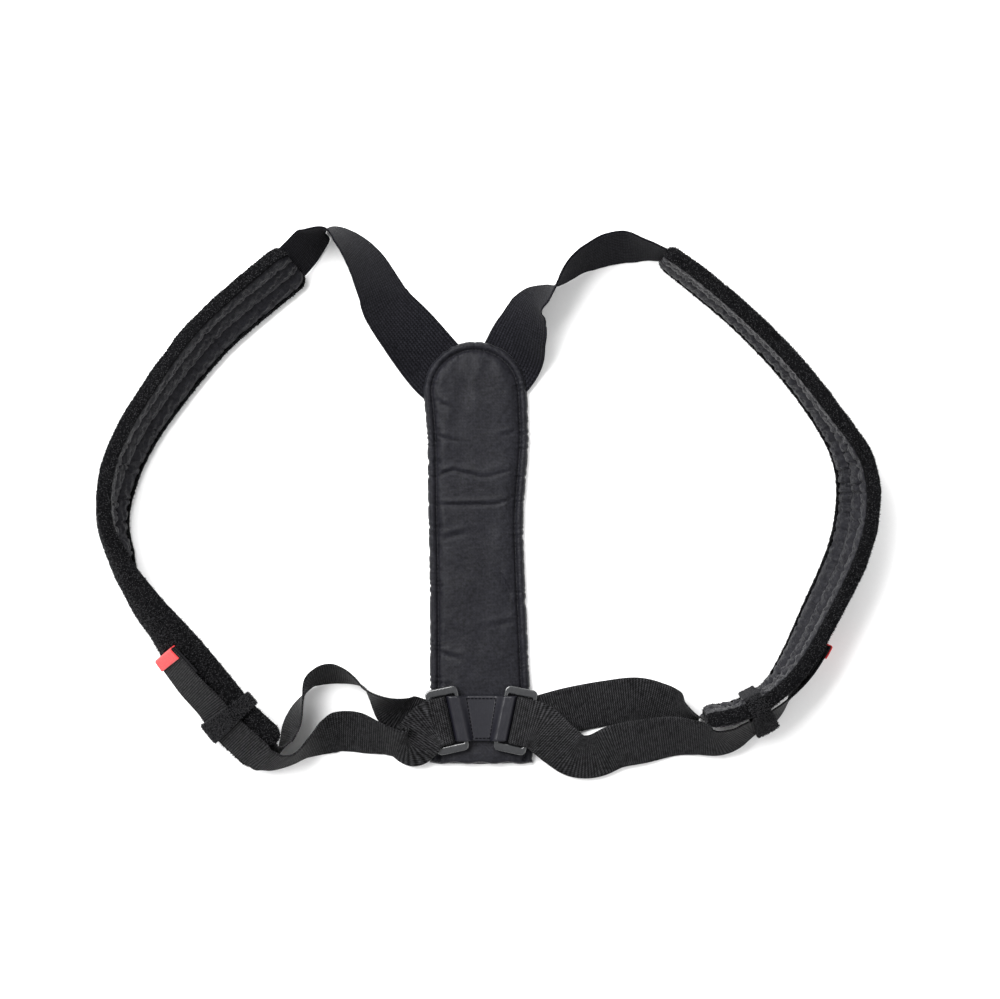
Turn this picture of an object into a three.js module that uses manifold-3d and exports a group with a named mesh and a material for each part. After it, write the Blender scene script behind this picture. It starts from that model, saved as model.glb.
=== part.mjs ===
import * as THREE from 'three';
import { mergeVertices } from 'three/addons/utils/BufferGeometryUtils.js';
import Module from 'manifold-3d';

// A posture corrector laid flat: a padded back panel, two elastic straps, two padded
// shoulder loops and two webbing straps that run through rings and back to the loops.
// Millimetres, +Z up. X runs across the back, Y from the lower back towards the neck.

// Fits
const gap = 0.35;
const barPlay = 0.55;
const layPlay = 0.85;
const seamPlay = 0.7;
const floorGap = 0.5;

// Back pad
const backPadLength = 338;
const backPadWidth = 83;
const backPadThickness = 11;
const backPadRoll = 7;
const backPadGroove = 2.6;

// Elastic straps
const elasticWidth = 51;
const elasticThickness = 1.6;

// Shoulder pads
const shoulderPadLength = 485;
const shoulderPadWidth = 55;
const facingThickness = 6;
const liningThickness = 5;
const facingRim = 3;
const channelDepth = 2.2;
const shoulderEndRadius = 11;

// Webbing
const webbingWidth = 38;
const webbingThickness = 1.5;
const webbingSpan = 133;

// Rings and the band that holds them
const ringWindow = 20;
const ringLongBar = 3.2;
const ringShortBar = 6.4;
const ringThickness = 3;
const ringPlay = 0.9;
const ringTurn = 12;
const ringSlide = 1;
const bandLength = 49;
const bandWidth = 36;
const bandThickness = 1.5;
const bandLoop = 8.6;
const bandRise = 37.5;
const bandShift = 2;

// Keepers, hook patches and pull tabs
const keeperLength = 15;
const keeperThickness = 2;
const keeperSetback = 41;
const hookLength = 26;
const hookThickness = 1.8;
const hookReach = 111;
const tabLength = 9;
const tabThickness = 1.1;

// What follows from them
const up = new THREE.Vector3(0, 0, 1);
const ringPitch = ringWindow + ringLongBar;
const barRadius = Math.hypot(ringLongBar, ringThickness) / 2 + barPlay;
const strapFold = barRadius + webbingThickness / 2;
const strandLevel = backPadThickness + gap + barRadius + Math.max(webbingThickness, bandThickness);
const bandCentre = new THREE.Vector3(bandShift, bandRise, strandLevel);
const rad = THREE.MathUtils.degToRad;

// Back pad outline: half widths on both sides of the middle line, from the bottom up,
// as shares of the pad's half width; height is a share of the pad's length
const backPadOutline = [
  { height: 0.00, left: 0.94, right: 1.05 },
  { height: 0.17, left: 0.95, right: 0.99 },
  { height: 0.33, left: 0.95, right: 0.93 },
  { height: 0.47, left: 0.96, right: 0.88 },
  { height: 0.58, left: 0.98, right: 0.86 },
  { height: 0.66, left: 0.99, right: 0.90 },
  { height: 0.76, left: 1.00, right: 0.96 },
  { height: 0.83, left: 1.04, right: 0.95 },
  { height: 0.88, left: 1.08, right: 0.93 },
];
const backPadArch = { centre: -0.08, half: 1.00 };

// Back pad section, from the flat underside over the edge roll and its groove to the crown:
// inset is a share of the roll's width, height a share of the thickness,
// dip a share of the groove's depth
const backPadSection = [
  { inset: 0.45, height: 0.00, dip: 0 },
  { inset: 0.12, height: 0.12, dip: 0 },
  { inset: 0.00, height: 0.38, dip: 0 },
  { inset: 0.10, height: 0.64, dip: 0 },
  { inset: 0.40, height: 0.82, dip: 0 },
  { inset: 0.75, height: 0.82, dip: 0 },
  { inset: 1.00, height: 0.86, dip: 1 },
  { inset: 1.30, height: 0.86, dip: 0 },
  { inset: 2.20, height: 0.96, dip: 0 },
  { inset: 3.60, height: 1.00, dip: 0 },
];

// Routes seen from above. along and off are shares of the straight line between a route's
// ends, off to the left of the way it runs. roll turns the strap's width from level, in
// degrees. near and far are shares of the heights at the two ends; the rest stands on the floor.
const elasticRoutes = {
  left: [
    { along: 0.08, off: 0.01, roll: 0, near: 1.0, far: 0 },
    { along: 0.19, off: 0.01, roll: 4, near: 0.9, far: 0 },
    { along: 0.39, off: -0.045, roll: 21, near: 0.3, far: 0 },
    { along: 0.53, off: -0.085, roll: 36, near: 0, far: 0 },
    { along: 0.61, off: -0.13, roll: 46, near: 0, far: 0 },
    { along: 0.70, off: -0.18, roll: 53, near: 0, far: 0 },
    { along: 0.78, off: -0.21, roll: 60, near: 0, far: 0 },
    { along: 0.86, off: -0.225, roll: 69, near: 0, far: 0 },
    { along: 0.925, off: -0.225, roll: 78, near: 0, far: 0 },
    { along: 0.965, off: -0.205, roll: 90, near: 0, far: 0 },
    { along: 0.985, off: -0.15, roll: 112, near: 0, far: 0.1 },
    { along: 0.99, off: -0.075, roll: 118, near: 0, far: 0.5 },
    { along: 1.00, off: 0.00, roll: 119, near: 0, far: 1 },
  ],
  right: [
    { along: 0.08, off: 0.01, roll: 0, near: 1.0, far: 0 },
    { along: 0.20, off: -0.02, roll: 6, near: 0.8, far: 0 },
    { along: 0.31, off: -0.09, roll: 34, near: 0.1, far: 0 },
    { along: 0.38, off: -0.14, roll: 50, near: 0, far: 0 },
    { along: 0.43, off: -0.165, roll: 62, near: 0, far: 0 },
    { along: 0.49, off: -0.165, roll: 74, near: 0, far: 0 },
    { along: 0.55, off: -0.17, roll: 90, near: 0, far: 0 },
    { along: 0.62, off: -0.185, roll: 101, near: 0, far: 0 },
    { along: 0.69, off: -0.19, roll: 107, near: 0, far: 0 },
    { along: 0.75, off: -0.18, roll: 112, near: 0, far: 0 },
    { along: 0.81, off: -0.165, roll: 115, near: 0, far: 0 },
    { along: 0.88, off: -0.13, roll: 114, near: 0, far: 0 },
    { along: 0.94, off: -0.07, roll: 103, near: 0, far: 0.4 },
    { along: 1.00, off: 0.00, roll: 95, near: 0, far: 1 },
  ],
};

// Shoulder pads, from the upper end to the lower end; cup is the bend across the width
const shoulderRoutes = {
  left: [
    { along: 0.000, off: 0.000, roll: 120, cup: 20 },
    { along: 0.125, off: -0.133, roll: 119, cup: 35 },
    { along: 0.194, off: -0.192, roll: 118, cup: 35 },
    { along: 0.274, off: -0.246, roll: 115, cup: 40 },
    { along: 0.357, off: -0.295, roll: 112, cup: 45 },
    { along: 0.439, off: -0.328, roll: 109, cup: 50 },
    { along: 0.533, off: -0.341, roll: 101, cup: 60 },
    { along: 0.614, off: -0.322, roll: 90, cup: 80 },
    { along: 0.696, off: -0.272, roll: 73, cup: 75 },
    { along: 0.803, off: -0.184, roll: 57, cup: 50 },
    { along: 0.884, off: -0.116, roll: 50, cup: 35 },
    { along: 0.937, off: -0.072, roll: 47, cup: 25 },
    { along: 1.000, off: 0.000, roll: 45, cup: 15 },
  ],
  right: [
    { along: 0.005, off: -0.015, roll: 95, cup: 20 },
    { along: 0.060, off: -0.075, roll: 97, cup: 25 },
    { along: 0.156, off: -0.168, roll: 97, cup: 35 },
    { along: 0.272, off: -0.260, roll: 98, cup: 40 },
    { along: 0.395, off: -0.334, roll: 101, cup: 40 },
    { along: 0.491, off: -0.374, roll: 110, cup: 40 },
    { along: 0.585, off: -0.373, roll: 114, cup: 40 },
    { along: 0.685, off: -0.340, roll: 112, cup: 40 },
    { along: 0.814, off: -0.264, roll: 108, cup: 30 },
    { along: 0.903, off: -0.205, roll: 102, cup: 22 },
    { along: 0.965, off: -0.143, roll: 94, cup: 20 },
    { along: 0.995, off: -0.070, roll: 92, cup: 20 },
    { along: 1.000, off: 0.000, roll: 94, cup: 20 },
  ],
};

// Webbing from the pad's lower end to the ring's outer bar
const underRoutes = {
  left: [
    { along: 0.000, off: 0.000, roll: 46, near: 1.0, far: 0 },
    { along: 0.028, off: -0.018, roll: 58, near: 0.9, far: 0 },
    { along: 0.060, off: -0.015, roll: 76, near: 0.6, far: 0 },
    { along: 0.092, off: 0.006, roll: 92, near: 0.25, far: 0 },
    { along: 0.122, off: 0.050, roll: 105, near: 0, far: 0 },
    { along: 0.161, off: 0.120, roll: 112, near: 0, far: 0 },
    { along: 0.207, off: 0.190, roll: 110, near: 0, far: 0 },
    { along: 0.258, off: 0.270, roll: 97, near: 0, far: 0 },
    { along: 0.320, off: 0.367, roll: 77, near: 0, far: 0 },
    { along: 0.385, off: 0.395, roll: 66, near: 0, far: 0 },
    { along: 0.460, off: 0.396, roll: 63, near: 0, far: 0 },
    { along: 0.530, off: 0.370, roll: 70, near: 0, far: 0 },
    { along: 0.590, off: 0.328, roll: 80, near: 0, far: 0 },
    { along: 0.635, off: 0.278, roll: 87, near: 0, far: 0 },
    { along: 0.685, off: 0.214, roll: 76, near: 0, far: 0 },
    { along: 0.740, off: 0.156, roll: 58, near: 0, far: 0.05 },
    { along: 0.805, off: 0.100, roll: 34, near: 0, far: 0.35 },
    { along: 0.865, off: 0.055, roll: 14, near: 0, far: 0.85 },
    { along: 0.915, off: 0.022, roll: 2, near: 0, far: 1 },
    { along: 0.955, off: 0.004, roll: 0, near: 0, far: 1 },
    { along: 1.000, off: 0.000, roll: 0, near: 0, far: 1 },
  ],
  right: [
    { along: 0.00, off: 0.00, roll: 94, near: 1, far: 0 },
    { along: 0.03, off: 0.000, roll: 84, near: 0.9, far: 0 },
    { along: 0.065, off: 0.006, roll: 66, near: 0.6, far: 0 },
    { along: 0.105, off: 0.018, roll: 49, near: 0.25, far: 0 },
    { along: 0.165, off: 0.044, roll: 33, near: 0, far: 0 },
    { along: 0.25, off: 0.075, roll: 22, near: 0, far: 0.05 },
    { along: 0.38, off: 0.105, roll: 14, near: 0, far: 0.2 },
    { along: 0.54, off: 0.095, roll: 14, near: 0, far: 0.1 },
    { along: 0.72, off: 0.07, roll: 12, near: 0, far: 0.3 },
    { along: 0.88, off: 0.035, roll: 4, near: 0, far: 0.95 },
    { along: 1.00, off: 0.00, roll: 0, near: 0, far: 1 },
  ],
};

// Webbing from the ring's outer bar back to the pad's outer face
const overRoutes = {
  left: [
    { along: 0.000, off: 0.000, roll: 0, near: 1, far: 0 },
    { along: 0.050, off: 0.030, roll: 0, near: 1, far: 0 },
    { along: 0.100, off: 0.078, roll: 4, near: 1, far: 0 },
    { along: 0.145, off: 0.108, roll: 26, near: 0.7, far: 0 },
    { along: 0.210, off: 0.084, roll: 50, near: 0.2, far: 0 },
    { along: 0.270, off: 0.054, roll: 50, near: 0, far: 0 },
    { along: 0.335, off: 0.023, roll: 42, near: 0, far: 0 },
    { along: 0.416, off: -0.013, roll: 30, near: 0, far: 0 },
    { along: 0.480, off: -0.032, roll: 27, near: 0, far: 0 },
    { along: 0.538, off: -0.040, roll: 31, near: 0, far: 0 },
    { along: 0.592, off: -0.028, roll: 43, near: 0, far: 0 },
    { along: 0.645, off: -0.004, roll: 56, near: 0, far: 0 },
    { along: 0.700, off: 0.022, roll: 67, near: 0, far: 0 },
    { along: 0.757, off: 0.048, roll: 76, near: 0, far: 0 },
    { along: 0.810, off: 0.067, roll: 77, near: 0, far: 0.08 },
    { along: 0.861, off: 0.073, roll: 74, near: 0, far: 0.3 },
    { along: 0.905, off: 0.068, roll: 68, near: 0, far: 0.58 },
    { along: 0.945, off: 0.052, roll: 60, near: 0, far: 0.82 },
    { along: 0.977, off: 0.032, roll: 52, near: 0, far: 0.95 },
    { along: 1.000, off: 0.000, roll: 46, near: 0, far: 1 },
  ],
  right: [
    { along: 0.00, off: 0.00, roll: 0, near: 1, far: 0 },
    { along: 0.05, off: 0.02, roll: 0, near: 1, far: 0 },
    { along: 0.13, off: 0.09, roll: 12, near: 0.8, far: 0 },
    { along: 0.21, off: 0.145, roll: 20, near: 0.5, far: 0 },
    { along: 0.30, off: 0.145, roll: 20, near: 0.45, far: 0 },
    { along: 0.40, off: 0.10, roll: 18, near: 0.45, far: 0 },
    { along: 0.52, off: 0.075, roll: 18, near: 0.4, far: 0 },
    { along: 0.66, off: 0.05, roll: 30, near: 0.15, far: 0 },
    { along: 0.76, off: 0.052, roll: 42, near: 0, far: 0.15 },
    { along: 0.86, off: 0.066, roll: 54, near: 0, far: 0.4 },
    { along: 0.94, off: 0.040, roll: 62, near: 0, far: 0.8 },
    { along: 1.00, off: 0.00, roll: 66, near: 0, far: 1 },
  ],
};

// How the two sides lie: the chord of each pad as a share of its length, its turn from the
// Y axis, the turn of the line from the ring to the pad's lower end, its reach as a share of
// the span, where the webbing leaves the pad as a share of the keeper's setback, how far its
// start is from the middle of the pad's end to the low edge, and the degrees that it stands off
const sides = [
  { name: 'left', mirror: 1, bow: 0.80, padTurn: 3.2, strapTurn: 9.6, reach: 1, leave: 0.12, seat: 0, standOff: 0 },
  { name: 'right', mirror: -1, bow: 0.76, padTurn: 5.9, strapTurn: -2.5, reach: 1.04, leave: 0.75, seat: 1, standOff: 24 },
];

// Smooth table lookup

// Catmull-Rom value between b and c, where a and d are the values outside them
function blend(a, b, c, d, f) {
  const slopeB = (c - a) / 2;
  const slopeC = (d - b) / 2;
  const square = f * f;
  const cube = square * f;
  return (2 * b - 2 * c + slopeB + slopeC) * cube
    + (-3 * b + 3 * c - 2 * slopeB - slopeC) * square + slopeB * f + b;
}

// The row at a share of a table, every column smoothed through the rows
function rowAt(table, share) {
  const last = table.length - 1;
  const place = THREE.MathUtils.clamp(share, 0, 1) * last;
  const index = Math.min(Math.floor(place), last - 1);
  const near = [-1, 0, 1, 2].map((step) => table[THREE.MathUtils.clamp(index + step, 0, last)]);
  const row = {};
  for (const column of Object.keys(table[0])) {
    const [a, b, c, d] = near.map((entry) => entry[column]);
    row[column] = blend(a, b, c, d, place - index);
  }
  return row;
}

// A point beside the straight line from one end to the other, in plan
function routePoint(row, from, to) {
  const run = new THREE.Vector3(to.x - from.x, to.y - from.y, 0);
  const left = new THREE.Vector3(-run.y, run.x, 0);
  return new THREE.Vector3(from.x, from.y, 0).addScaledVector(run, row.along)
    .addScaledVector(left, row.off);
}

// Bodies from rings of points

// Triangles of a closed mesh turned so that they face out
function bodyFrom(points, triangles) {
  let volume = 0;
  for (const [a, b, c] of triangles) {
    volume += points[a].dot(new THREE.Vector3().crossVectors(points[b], points[c]));
  }
  const faces = volume < 0 ? triangles.map(([a, b, c]) => [a, c, b]) : triangles;
  const geometry = new THREE.BufferGeometry();
  geometry.setAttribute('position', new THREE.Float32BufferAttribute(
    points.flatMap((point) => point.toArray()), 3));
  geometry.setIndex(faces.flat());
  return geometry;
}

// Quads between two neighbouring rings of a body
function bridge(first, second, count, triangles) {
  for (let i = 0; i < count; i += 1) {
    const next = (i + 1) % count;
    triangles.push([first + i, first + next, second + next]);
    triangles.push([first + i, second + next, second + i]);
  }
}

// Triangles that fill a flat ring, wound the way the ring runs
function fillRing(flat) {
  const way = Math.sign(THREE.ShapeUtils.area(flat));
  return THREE.ShapeUtils.triangulateShape(flat, []).map(([a, b, c]) => {
    const turn = THREE.ShapeUtils.area([flat[a], flat[b], flat[c]]);
    return turn * way < 0 ? [a, c, b] : [a, b, c];
  });
}

// A body through rings of points with flat ends; the flat rings give the ends in their planes
function loft(rings, flatStart, flatEnd) {
  const count = rings[0].length;
  const triangles = [];
  for (let i = 0; i + 1 < rings.length; i += 1) bridge(i * count, (i + 1) * count, count, triangles);
  const top = (rings.length - 1) * count;
  for (const [a, b, c] of fillRing(flatStart)) triangles.push([c, b, a]);
  for (const [a, b, c] of fillRing(flatEnd)) triangles.push([top + a, top + b, top + c]);
  return bodyFrom(rings.flat(), triangles);
}

// A tube-like body whose rings close on themselves both ways
function closedLoft(rings) {
  const count = rings[0].length;
  const triangles = [];
  rings.forEach((ring, i) => bridge(i * count, ((i + 1) % rings.length) * count, count, triangles));
  return bodyFrom(rings.flat(), triangles);
}

// Frames along a strap

// At each station: ahead along the strap, across its width, out from its outer face.
// roll lifts the edge on the left of the way, or on the right where hand is -1.
function framesAlong(stations) {
  return stations.map((station, i) => {
    const before = stations[Math.max(i - 1, 0)].point;
    const after = stations[Math.min(i + 1, stations.length - 1)].point;
    const ahead = station.ahead ?? after.clone().sub(before).normalize();
    const across = station.across?.clone() ?? new THREE.Vector3(-ahead.y, ahead.x, 0).normalize()
      .multiplyScalar((station.hand ?? 1) * Math.cos(rad(station.roll)))
      .addScaledVector(up, Math.sin(rad(station.roll)));
    across.addScaledVector(ahead, -across.dot(ahead)).normalize();
    const out = new THREE.Vector3().crossVectors(ahead, across);
    return { point: station.point, ahead, across, out };
  });
}

// A section's points at a frame
function placed(frame, section) {
  return section.map((spot) => frame.point.clone().addScaledVector(frame.across, spot.x)
    .addScaledVector(frame.out, spot.y));
}

// A flat strap through frames, with its two long edges rounded
function strapSection(width, thickness) {
  const half = width / 2;
  const edge = half - thickness / 2;
  const deep = thickness / 2;
  return [[edge, deep], [0, deep], [-edge, deep], [-half, 0],
    [-edge, -deep], [0, -deep], [edge, -deep], [half, 0]].map(([x, y]) => new THREE.Vector2(x, y));
}

function strap(frames, width, thickness) {
  const section = strapSection(width, thickness);
  return loft(frames.map((frame) => placed(frame, section)), section, section);
}

// Stations of a free strap between two ends. The strap stands on the floor on its low
// edge, and rises to the heights of its two ends.
function freeStations(route, from, to, width, count, hand = 1) {
  const stations = [];
  for (let i = 0; i < count; i += 1) {
    const row = rowAt(route, i / (count - 1));
    const point = routePoint(row, from, to);
    const standing = floorGap + Math.abs(Math.sin(rad(row.roll))) * width / 2;
    const carried = standing * (1 - row.near - row.far) + from.z * row.near + to.z * row.far;
    point.z = Math.max(standing, carried);
    stations.push({ point, roll: row.roll, hand });
  }
  return stations;
}

// Booleans

function toManifold(geometry) {
  const merged = mergeVertices(positionsOnly(geometry), 1e-4);
  return new wasm.Manifold(new wasm.Mesh({
    numProp: 3,
    vertProperties: new Float32Array(merged.attributes.position.array),
    triVerts: new Uint32Array(merged.index.array),
  }));
}

function positionsOnly(geometry) {
  const bare = geometry.clone();
  bare.deleteAttribute('normal');
  bare.deleteAttribute('uv');
  return bare;
}

function fromManifold(solid) {
  const mesh = solid.getMesh();
  const geometry = new THREE.BufferGeometry();
  geometry.setAttribute('position', new THREE.BufferAttribute(mesh.vertProperties, 3));
  geometry.setIndex(new THREE.BufferAttribute(mesh.triVerts, 1));
  return geometry;
}

const wasm = await Module();
wasm.setup();

// Back pad

// The pad's outline seen from above, from the lower left corner up, over the arch and down;
// tail carries both sides on below the lower edge, and grow widens it
function backPadPoints(tail, grow) {
  const half = backPadWidth / 2;
  const top = backPadOutline.at(-1);
  const archFoot = top.height * backPadLength;
  const archCentre = backPadArch.centre * half;
  const points = [];
  const sideSteps = 12;
  for (let i = 0; i <= sideSteps; i += 1) {
    const row = rowAt(backPadOutline, i / sideSteps);
    points.push(new THREE.Vector2(-row.left * half - grow, row.height * backPadLength));
  }
  const archSteps = 14;
  for (let i = 1; i < archSteps; i += 1) {
    const turn = Math.PI * (1 - i / archSteps);
    points.push(new THREE.Vector2(
      archCentre + (backPadArch.half * half + grow) * Math.cos(turn),
      archFoot + (backPadLength - archFoot + grow) * Math.sin(turn)));
  }
  for (let i = sideSteps; i >= 0; i -= 1) {
    const row = rowAt(backPadOutline, i / sideSteps);
    points.push(new THREE.Vector2(row.right * half + grow, row.height * backPadLength));
  }
  points[0].y -= tail;
  points.at(-1).y -= tail;
  return points;
}

// The outline moved inwards along its own normals
function insetOutline(outline, inset) {
  return outline.map((spot, i) => {
    const before = outline[(i + outline.length - 1) % outline.length];
    const after = outline[(i + 1) % outline.length];
    const edgeIn = spot.clone().sub(before).normalize();
    const edgeOut = after.clone().sub(spot).normalize();
    const normal = new THREE.Vector2(edgeIn.y + edgeOut.y, -edgeIn.x - edgeOut.x).normalize();
    const spread = Math.max(normal.x * edgeIn.y - normal.y * edgeIn.x, 0.5);
    return spot.clone().addScaledVector(normal, inset / spread);
  });
}

function boxSolid(width, depth, height, x, y, z) {
  const box = new THREE.BoxGeometry(width, depth, height);
  box.translate(x, y, z);
  return toManifold(box);
}

// The rings run past the lower edge, and the cut there leaves the edge roll's true section
function backPadBody() {
  const tail = backPadRoll * 4;
  const outline = backPadPoints(tail, 0);
  const rings = backPadSection.map((row) => insetOutline(outline, row.inset * backPadRoll)
    .map((spot) => new THREE.Vector3(
      spot.x, spot.y, row.height * backPadThickness - row.dip * backPadGroove)));
  const flatOf = (ring) => ring.map((point) => new THREE.Vector2(point.x, point.y));
  const whole = toManifold(loft(rings, flatOf(rings[0]), flatOf(rings.at(-1))));
  const below = boxSolid(backPadWidth * 2, tail * 2, backPadThickness * 4, 0, -tail, 0);
  return fromManifold(whole.subtract(below));
}

// Everything that the back pad and its gap fill, to cut the elastic straps to its edge
function backPadClearance() {
  const shape = new THREE.Shape(backPadPoints(0, gap));
  const block = new THREE.ExtrudeGeometry(shape, { depth: backPadThickness * 6, bevelEnabled: false });
  block.translate(0, 0, -backPadThickness * 2);
  return toManifold(block);
}

// Shoulder pads

// A point of the section: place along the bent middle line and height over it,
// positive on the outer side
function bentSpot(place, height, cup, width) {
  const radius = width / rad(cup);
  const turn = place / radius;
  return new THREE.Vector2((radius + height) * Math.sin(turn), (radius + height) * Math.cos(turn) - radius);
}

// The pile facing: the outer layer with both edges wrapped round to the lining
function facingSection(cup, width, thin) {
  const half = width / 2;
  const floor = half - facingRim;
  const outer = facingThickness * thin;
  const inner = -liningThickness * thin;
  const edge = [
    [half - facingRim, inner], [half, inner * 0.8],
    [half, outer * 0.45], [half - outer * 0.2, outer * 0.85], [half - outer * 0.6, outer],
  ];
  const spots = [
    [-floor, 0], [-floor / 2, 0], [0, 0], [floor / 2, 0], [floor, 0],
    ...edge, [half / 2, outer], [0, outer], [-half / 2, outer],
    ...edge.map(([place, height]) => [-place, height]).reverse(),
  ];
  return spots.map(([place, height]) => bentSpot(place, height, cup, width));
}

// The lining inside the facing's rims, quilted in lengthwise channels
function liningSection(cup, width, thin) {
  const channels = 3;
  const half = width / 2 - facingRim - seamPlay;
  const pitch = 2 * half / channels;
  const crest = -(liningThickness + channelDepth / 2) * thin;
  const shoulder = -(liningThickness + channelDepth / 5) * thin;
  const valley = crest + channelDepth * thin;
  const spots = [half, half / 2, 0, -half / 2, -half].map((place) => [place, -seamPlay]);
  spots.push([-half, valley]);
  for (let i = 0; i < channels; i += 1) {
    const start = i * pitch - half;
    spots.push([start + pitch * 0.2, shoulder], [start + pitch * 0.5, crest]);
    spots.push([start + pitch * 0.8, shoulder], [start + pitch, valley]);
  }
  return spots.map(([place, height]) => bentSpot(place, height, cup, width)).reverse();
}

// How much of the width and thickness is left near an end that has rounded corners
function endShare(distance, radius, whole) {
  if (distance >= radius) return 1;
  const inset = radius - Math.sqrt(radius * radius - (radius - distance) ** 2);
  return 1 - inset / whole;
}

// The share of a route's table at an even share of the route's own length
function evenShare(route, from, to) {
  const steps = 240;
  const lengths = [0];
  let before = routePoint(rowAt(route, 0), from, to);
  for (let i = 1; i <= steps; i += 1) {
    const point = routePoint(rowAt(route, i / steps), from, to);
    lengths.push(lengths[i - 1] + point.distanceTo(before));
    before = point;
  }
  return (share) => {
    const length = THREE.MathUtils.clamp(share, 0, 1) * lengths[steps];
    const index = Math.max(lengths.findIndex((value) => value >= length), 1);
    const part = (length - lengths[index - 1]) / (lengths[index] - lengths[index - 1]);
    return (index - 1 + part) / steps;
  };
}

// How far the pad is lifted off the floor, where the keeper passes under it
function keeperLift(distance) {
  const away = Math.abs(shoulderPadLength - keeperSetback - distance);
  const share = 1 - THREE.MathUtils.smoothstep(away, keeperLength * 0.7, keeperLength * 5);
  return share * (keeperThickness + 5 * gap);
}

// The pad's frame at a distance from its upper end. Its middle seen from above is on the
// route, and its lowest point is on the floor.
function padFrame(side, distance) {
  const share = side.even(distance / shoulderPadLength);
  const step = 0.004;
  const row = rowAt(shoulderRoutes[side.name], share);
  const before = routePoint(rowAt(shoulderRoutes[side.name], share - step), side.upper, side.lower);
  const after = routePoint(rowAt(shoulderRoutes[side.name], share + step), side.upper, side.lower);
  const [frame] = framesAlong([{
    point: routePoint(row, side.upper, side.lower),
    ahead: after.sub(before).normalize(),
    roll: row.roll,
  }]);
  const level = new THREE.Vector3(-frame.ahead.y, frame.ahead.x, 0);
  const whole = placed({ ...frame, point: new THREE.Vector3() },
    facingSection(row.cup, shoulderPadWidth, 1));
  const sideways = whole.map((point) => point.dot(level));
  const middle = (Math.min(...sideways) + Math.max(...sideways)) / 2;
  frame.point.addScaledVector(level, -middle);
  frame.point.z = keeperLift(distance) - Math.min(...whole.map((point) => point.z));
  frame.cup = row.cup;
  const toEnd = Math.min(distance, shoulderPadLength - distance);
  frame.width = shoulderPadWidth * endShare(toEnd, shoulderEndRadius, shoulderPadWidth / 2);
  frame.thin = endShare(toEnd, facingThickness, facingThickness * 2);
  return frame;
}

// Distances of the pad's stations, closer together in the rounded ends
function padDistances() {
  const ends = [0, 0.08, 0.3, 0.65, 1].map((share) => share * shoulderEndRadius);
  const steps = 29;
  const inner = shoulderPadLength - 2 * shoulderEndRadius;
  const middle = Array.from({ length: steps - 1 }, (_, i) => shoulderEndRadius + inner * (i + 1) / steps);
  return [...ends, ...middle, ...ends.map((end) => shoulderPadLength - end).reverse()];
}

function padBody(side, sectionOf) {
  const frames = padDistances().map((distance) => padFrame(side, distance));
  const sections = frames.map((frame) => sectionOf(frame.cup, frame.width, frame.thin));
  const rings = frames.map((frame, i) => placed(frame, sections[i]));
  return loft(rings, sections[0], sections.at(-1));
}

// Elastic straps: from inside the arch of the back pad to the shoulder pad's upper end

function elasticBody(side, clearance) {
  const archFoot = backPadOutline.at(-1).height * backPadLength;
  const archCentre = backPadArch.centre * backPadWidth / 2 * side.mirror;
  const from = new THREE.Vector3(archCentre, archFoot, backPadThickness * 0.38);
  const padEnd = padFrame(side, 0);
  const to = padEnd.point.clone().addScaledVector(padEnd.ahead, -gap);
  const stations = freeStations(elasticRoutes[side.name], from, to, elasticWidth, 32);
  stations.at(-1).ahead = padEnd.ahead;
  const body = strap(framesAlong(stations), elasticWidth, elasticThickness);
  return fromManifold(keepLargest(toManifold(mirrored(body, side)).subtract(clearance)));
}

function keepLargest(solid) {
  return solid.decompose().sort((a, b) => b.volume() - a.volume())[0];
}

// Webbing

// The frame of a ring: inward across its window, along its long bars, and its outer bar
function ringFrame(side) {
  const inward = new THREE.Vector3(Math.cos(rad(ringTurn)), Math.sin(rad(ringTurn)), 0);
  const along = new THREE.Vector3(-inward.y, inward.x, 0);
  const innerBar = new THREE.Vector3(
    bandShift * side.mirror - bandLength / 2 + bandLoop, bandRise + ringSlide, strandLevel);
  const outerBar = innerBar.clone().addScaledVector(inward, -ringPitch);
  return { inward, along, innerBar, outerBar };
}

// A place over the pad's outer face, raised by a height, with the pad's own directions
function overPad(side, distance, height) {
  const frame = padFrame(side, distance);
  const point = frame.point.clone().addScaledVector(frame.out, facingThickness + height);
  return { point, ahead: frame.ahead.clone().negate(), across: frame.across };
}

// Height of the webbing's middle over the pad: flat under the keeper, over the hook patch beyond
function layHeight(fromLower) {
  const low = layPlay + webbingThickness / 2;
  const high = low + layPlay + hookThickness;
  const start = keeperSetback + keeperLength / 2 + gap * 4;
  const share = THREE.MathUtils.smoothstep(fromLower, start, hookReach - hookLength - gap * 4);
  return low + (high - low) * share;
}

// Angle between the webbing and the pad: its low edge stands off at the keeper
function layLean(side, setback) {
  return side.standOff * (1 - THREE.MathUtils.smoothstep(setback, keeperSetback, hookReach - hookLength));
}

function layStations(side, fromLower, toLower, count) {
  return Array.from({ length: count }, (_, i) => {
    const setback = fromLower + (toLower - fromLower) * i / (count - 1);
    const lean = rad(layLean(side, setback));
    const swing = Math.sin(lean) * webbingWidth / 2;
    const spot = overPad(side, shoulderPadLength - setback, layHeight(setback) + swing);
    const out = new THREE.Vector3().crossVectors(spot.across, spot.ahead);
    spot.across = spot.across.clone().multiplyScalar(Math.cos(lean)).addScaledVector(out, -Math.sin(lean));
    return spot;
  });
}

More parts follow.
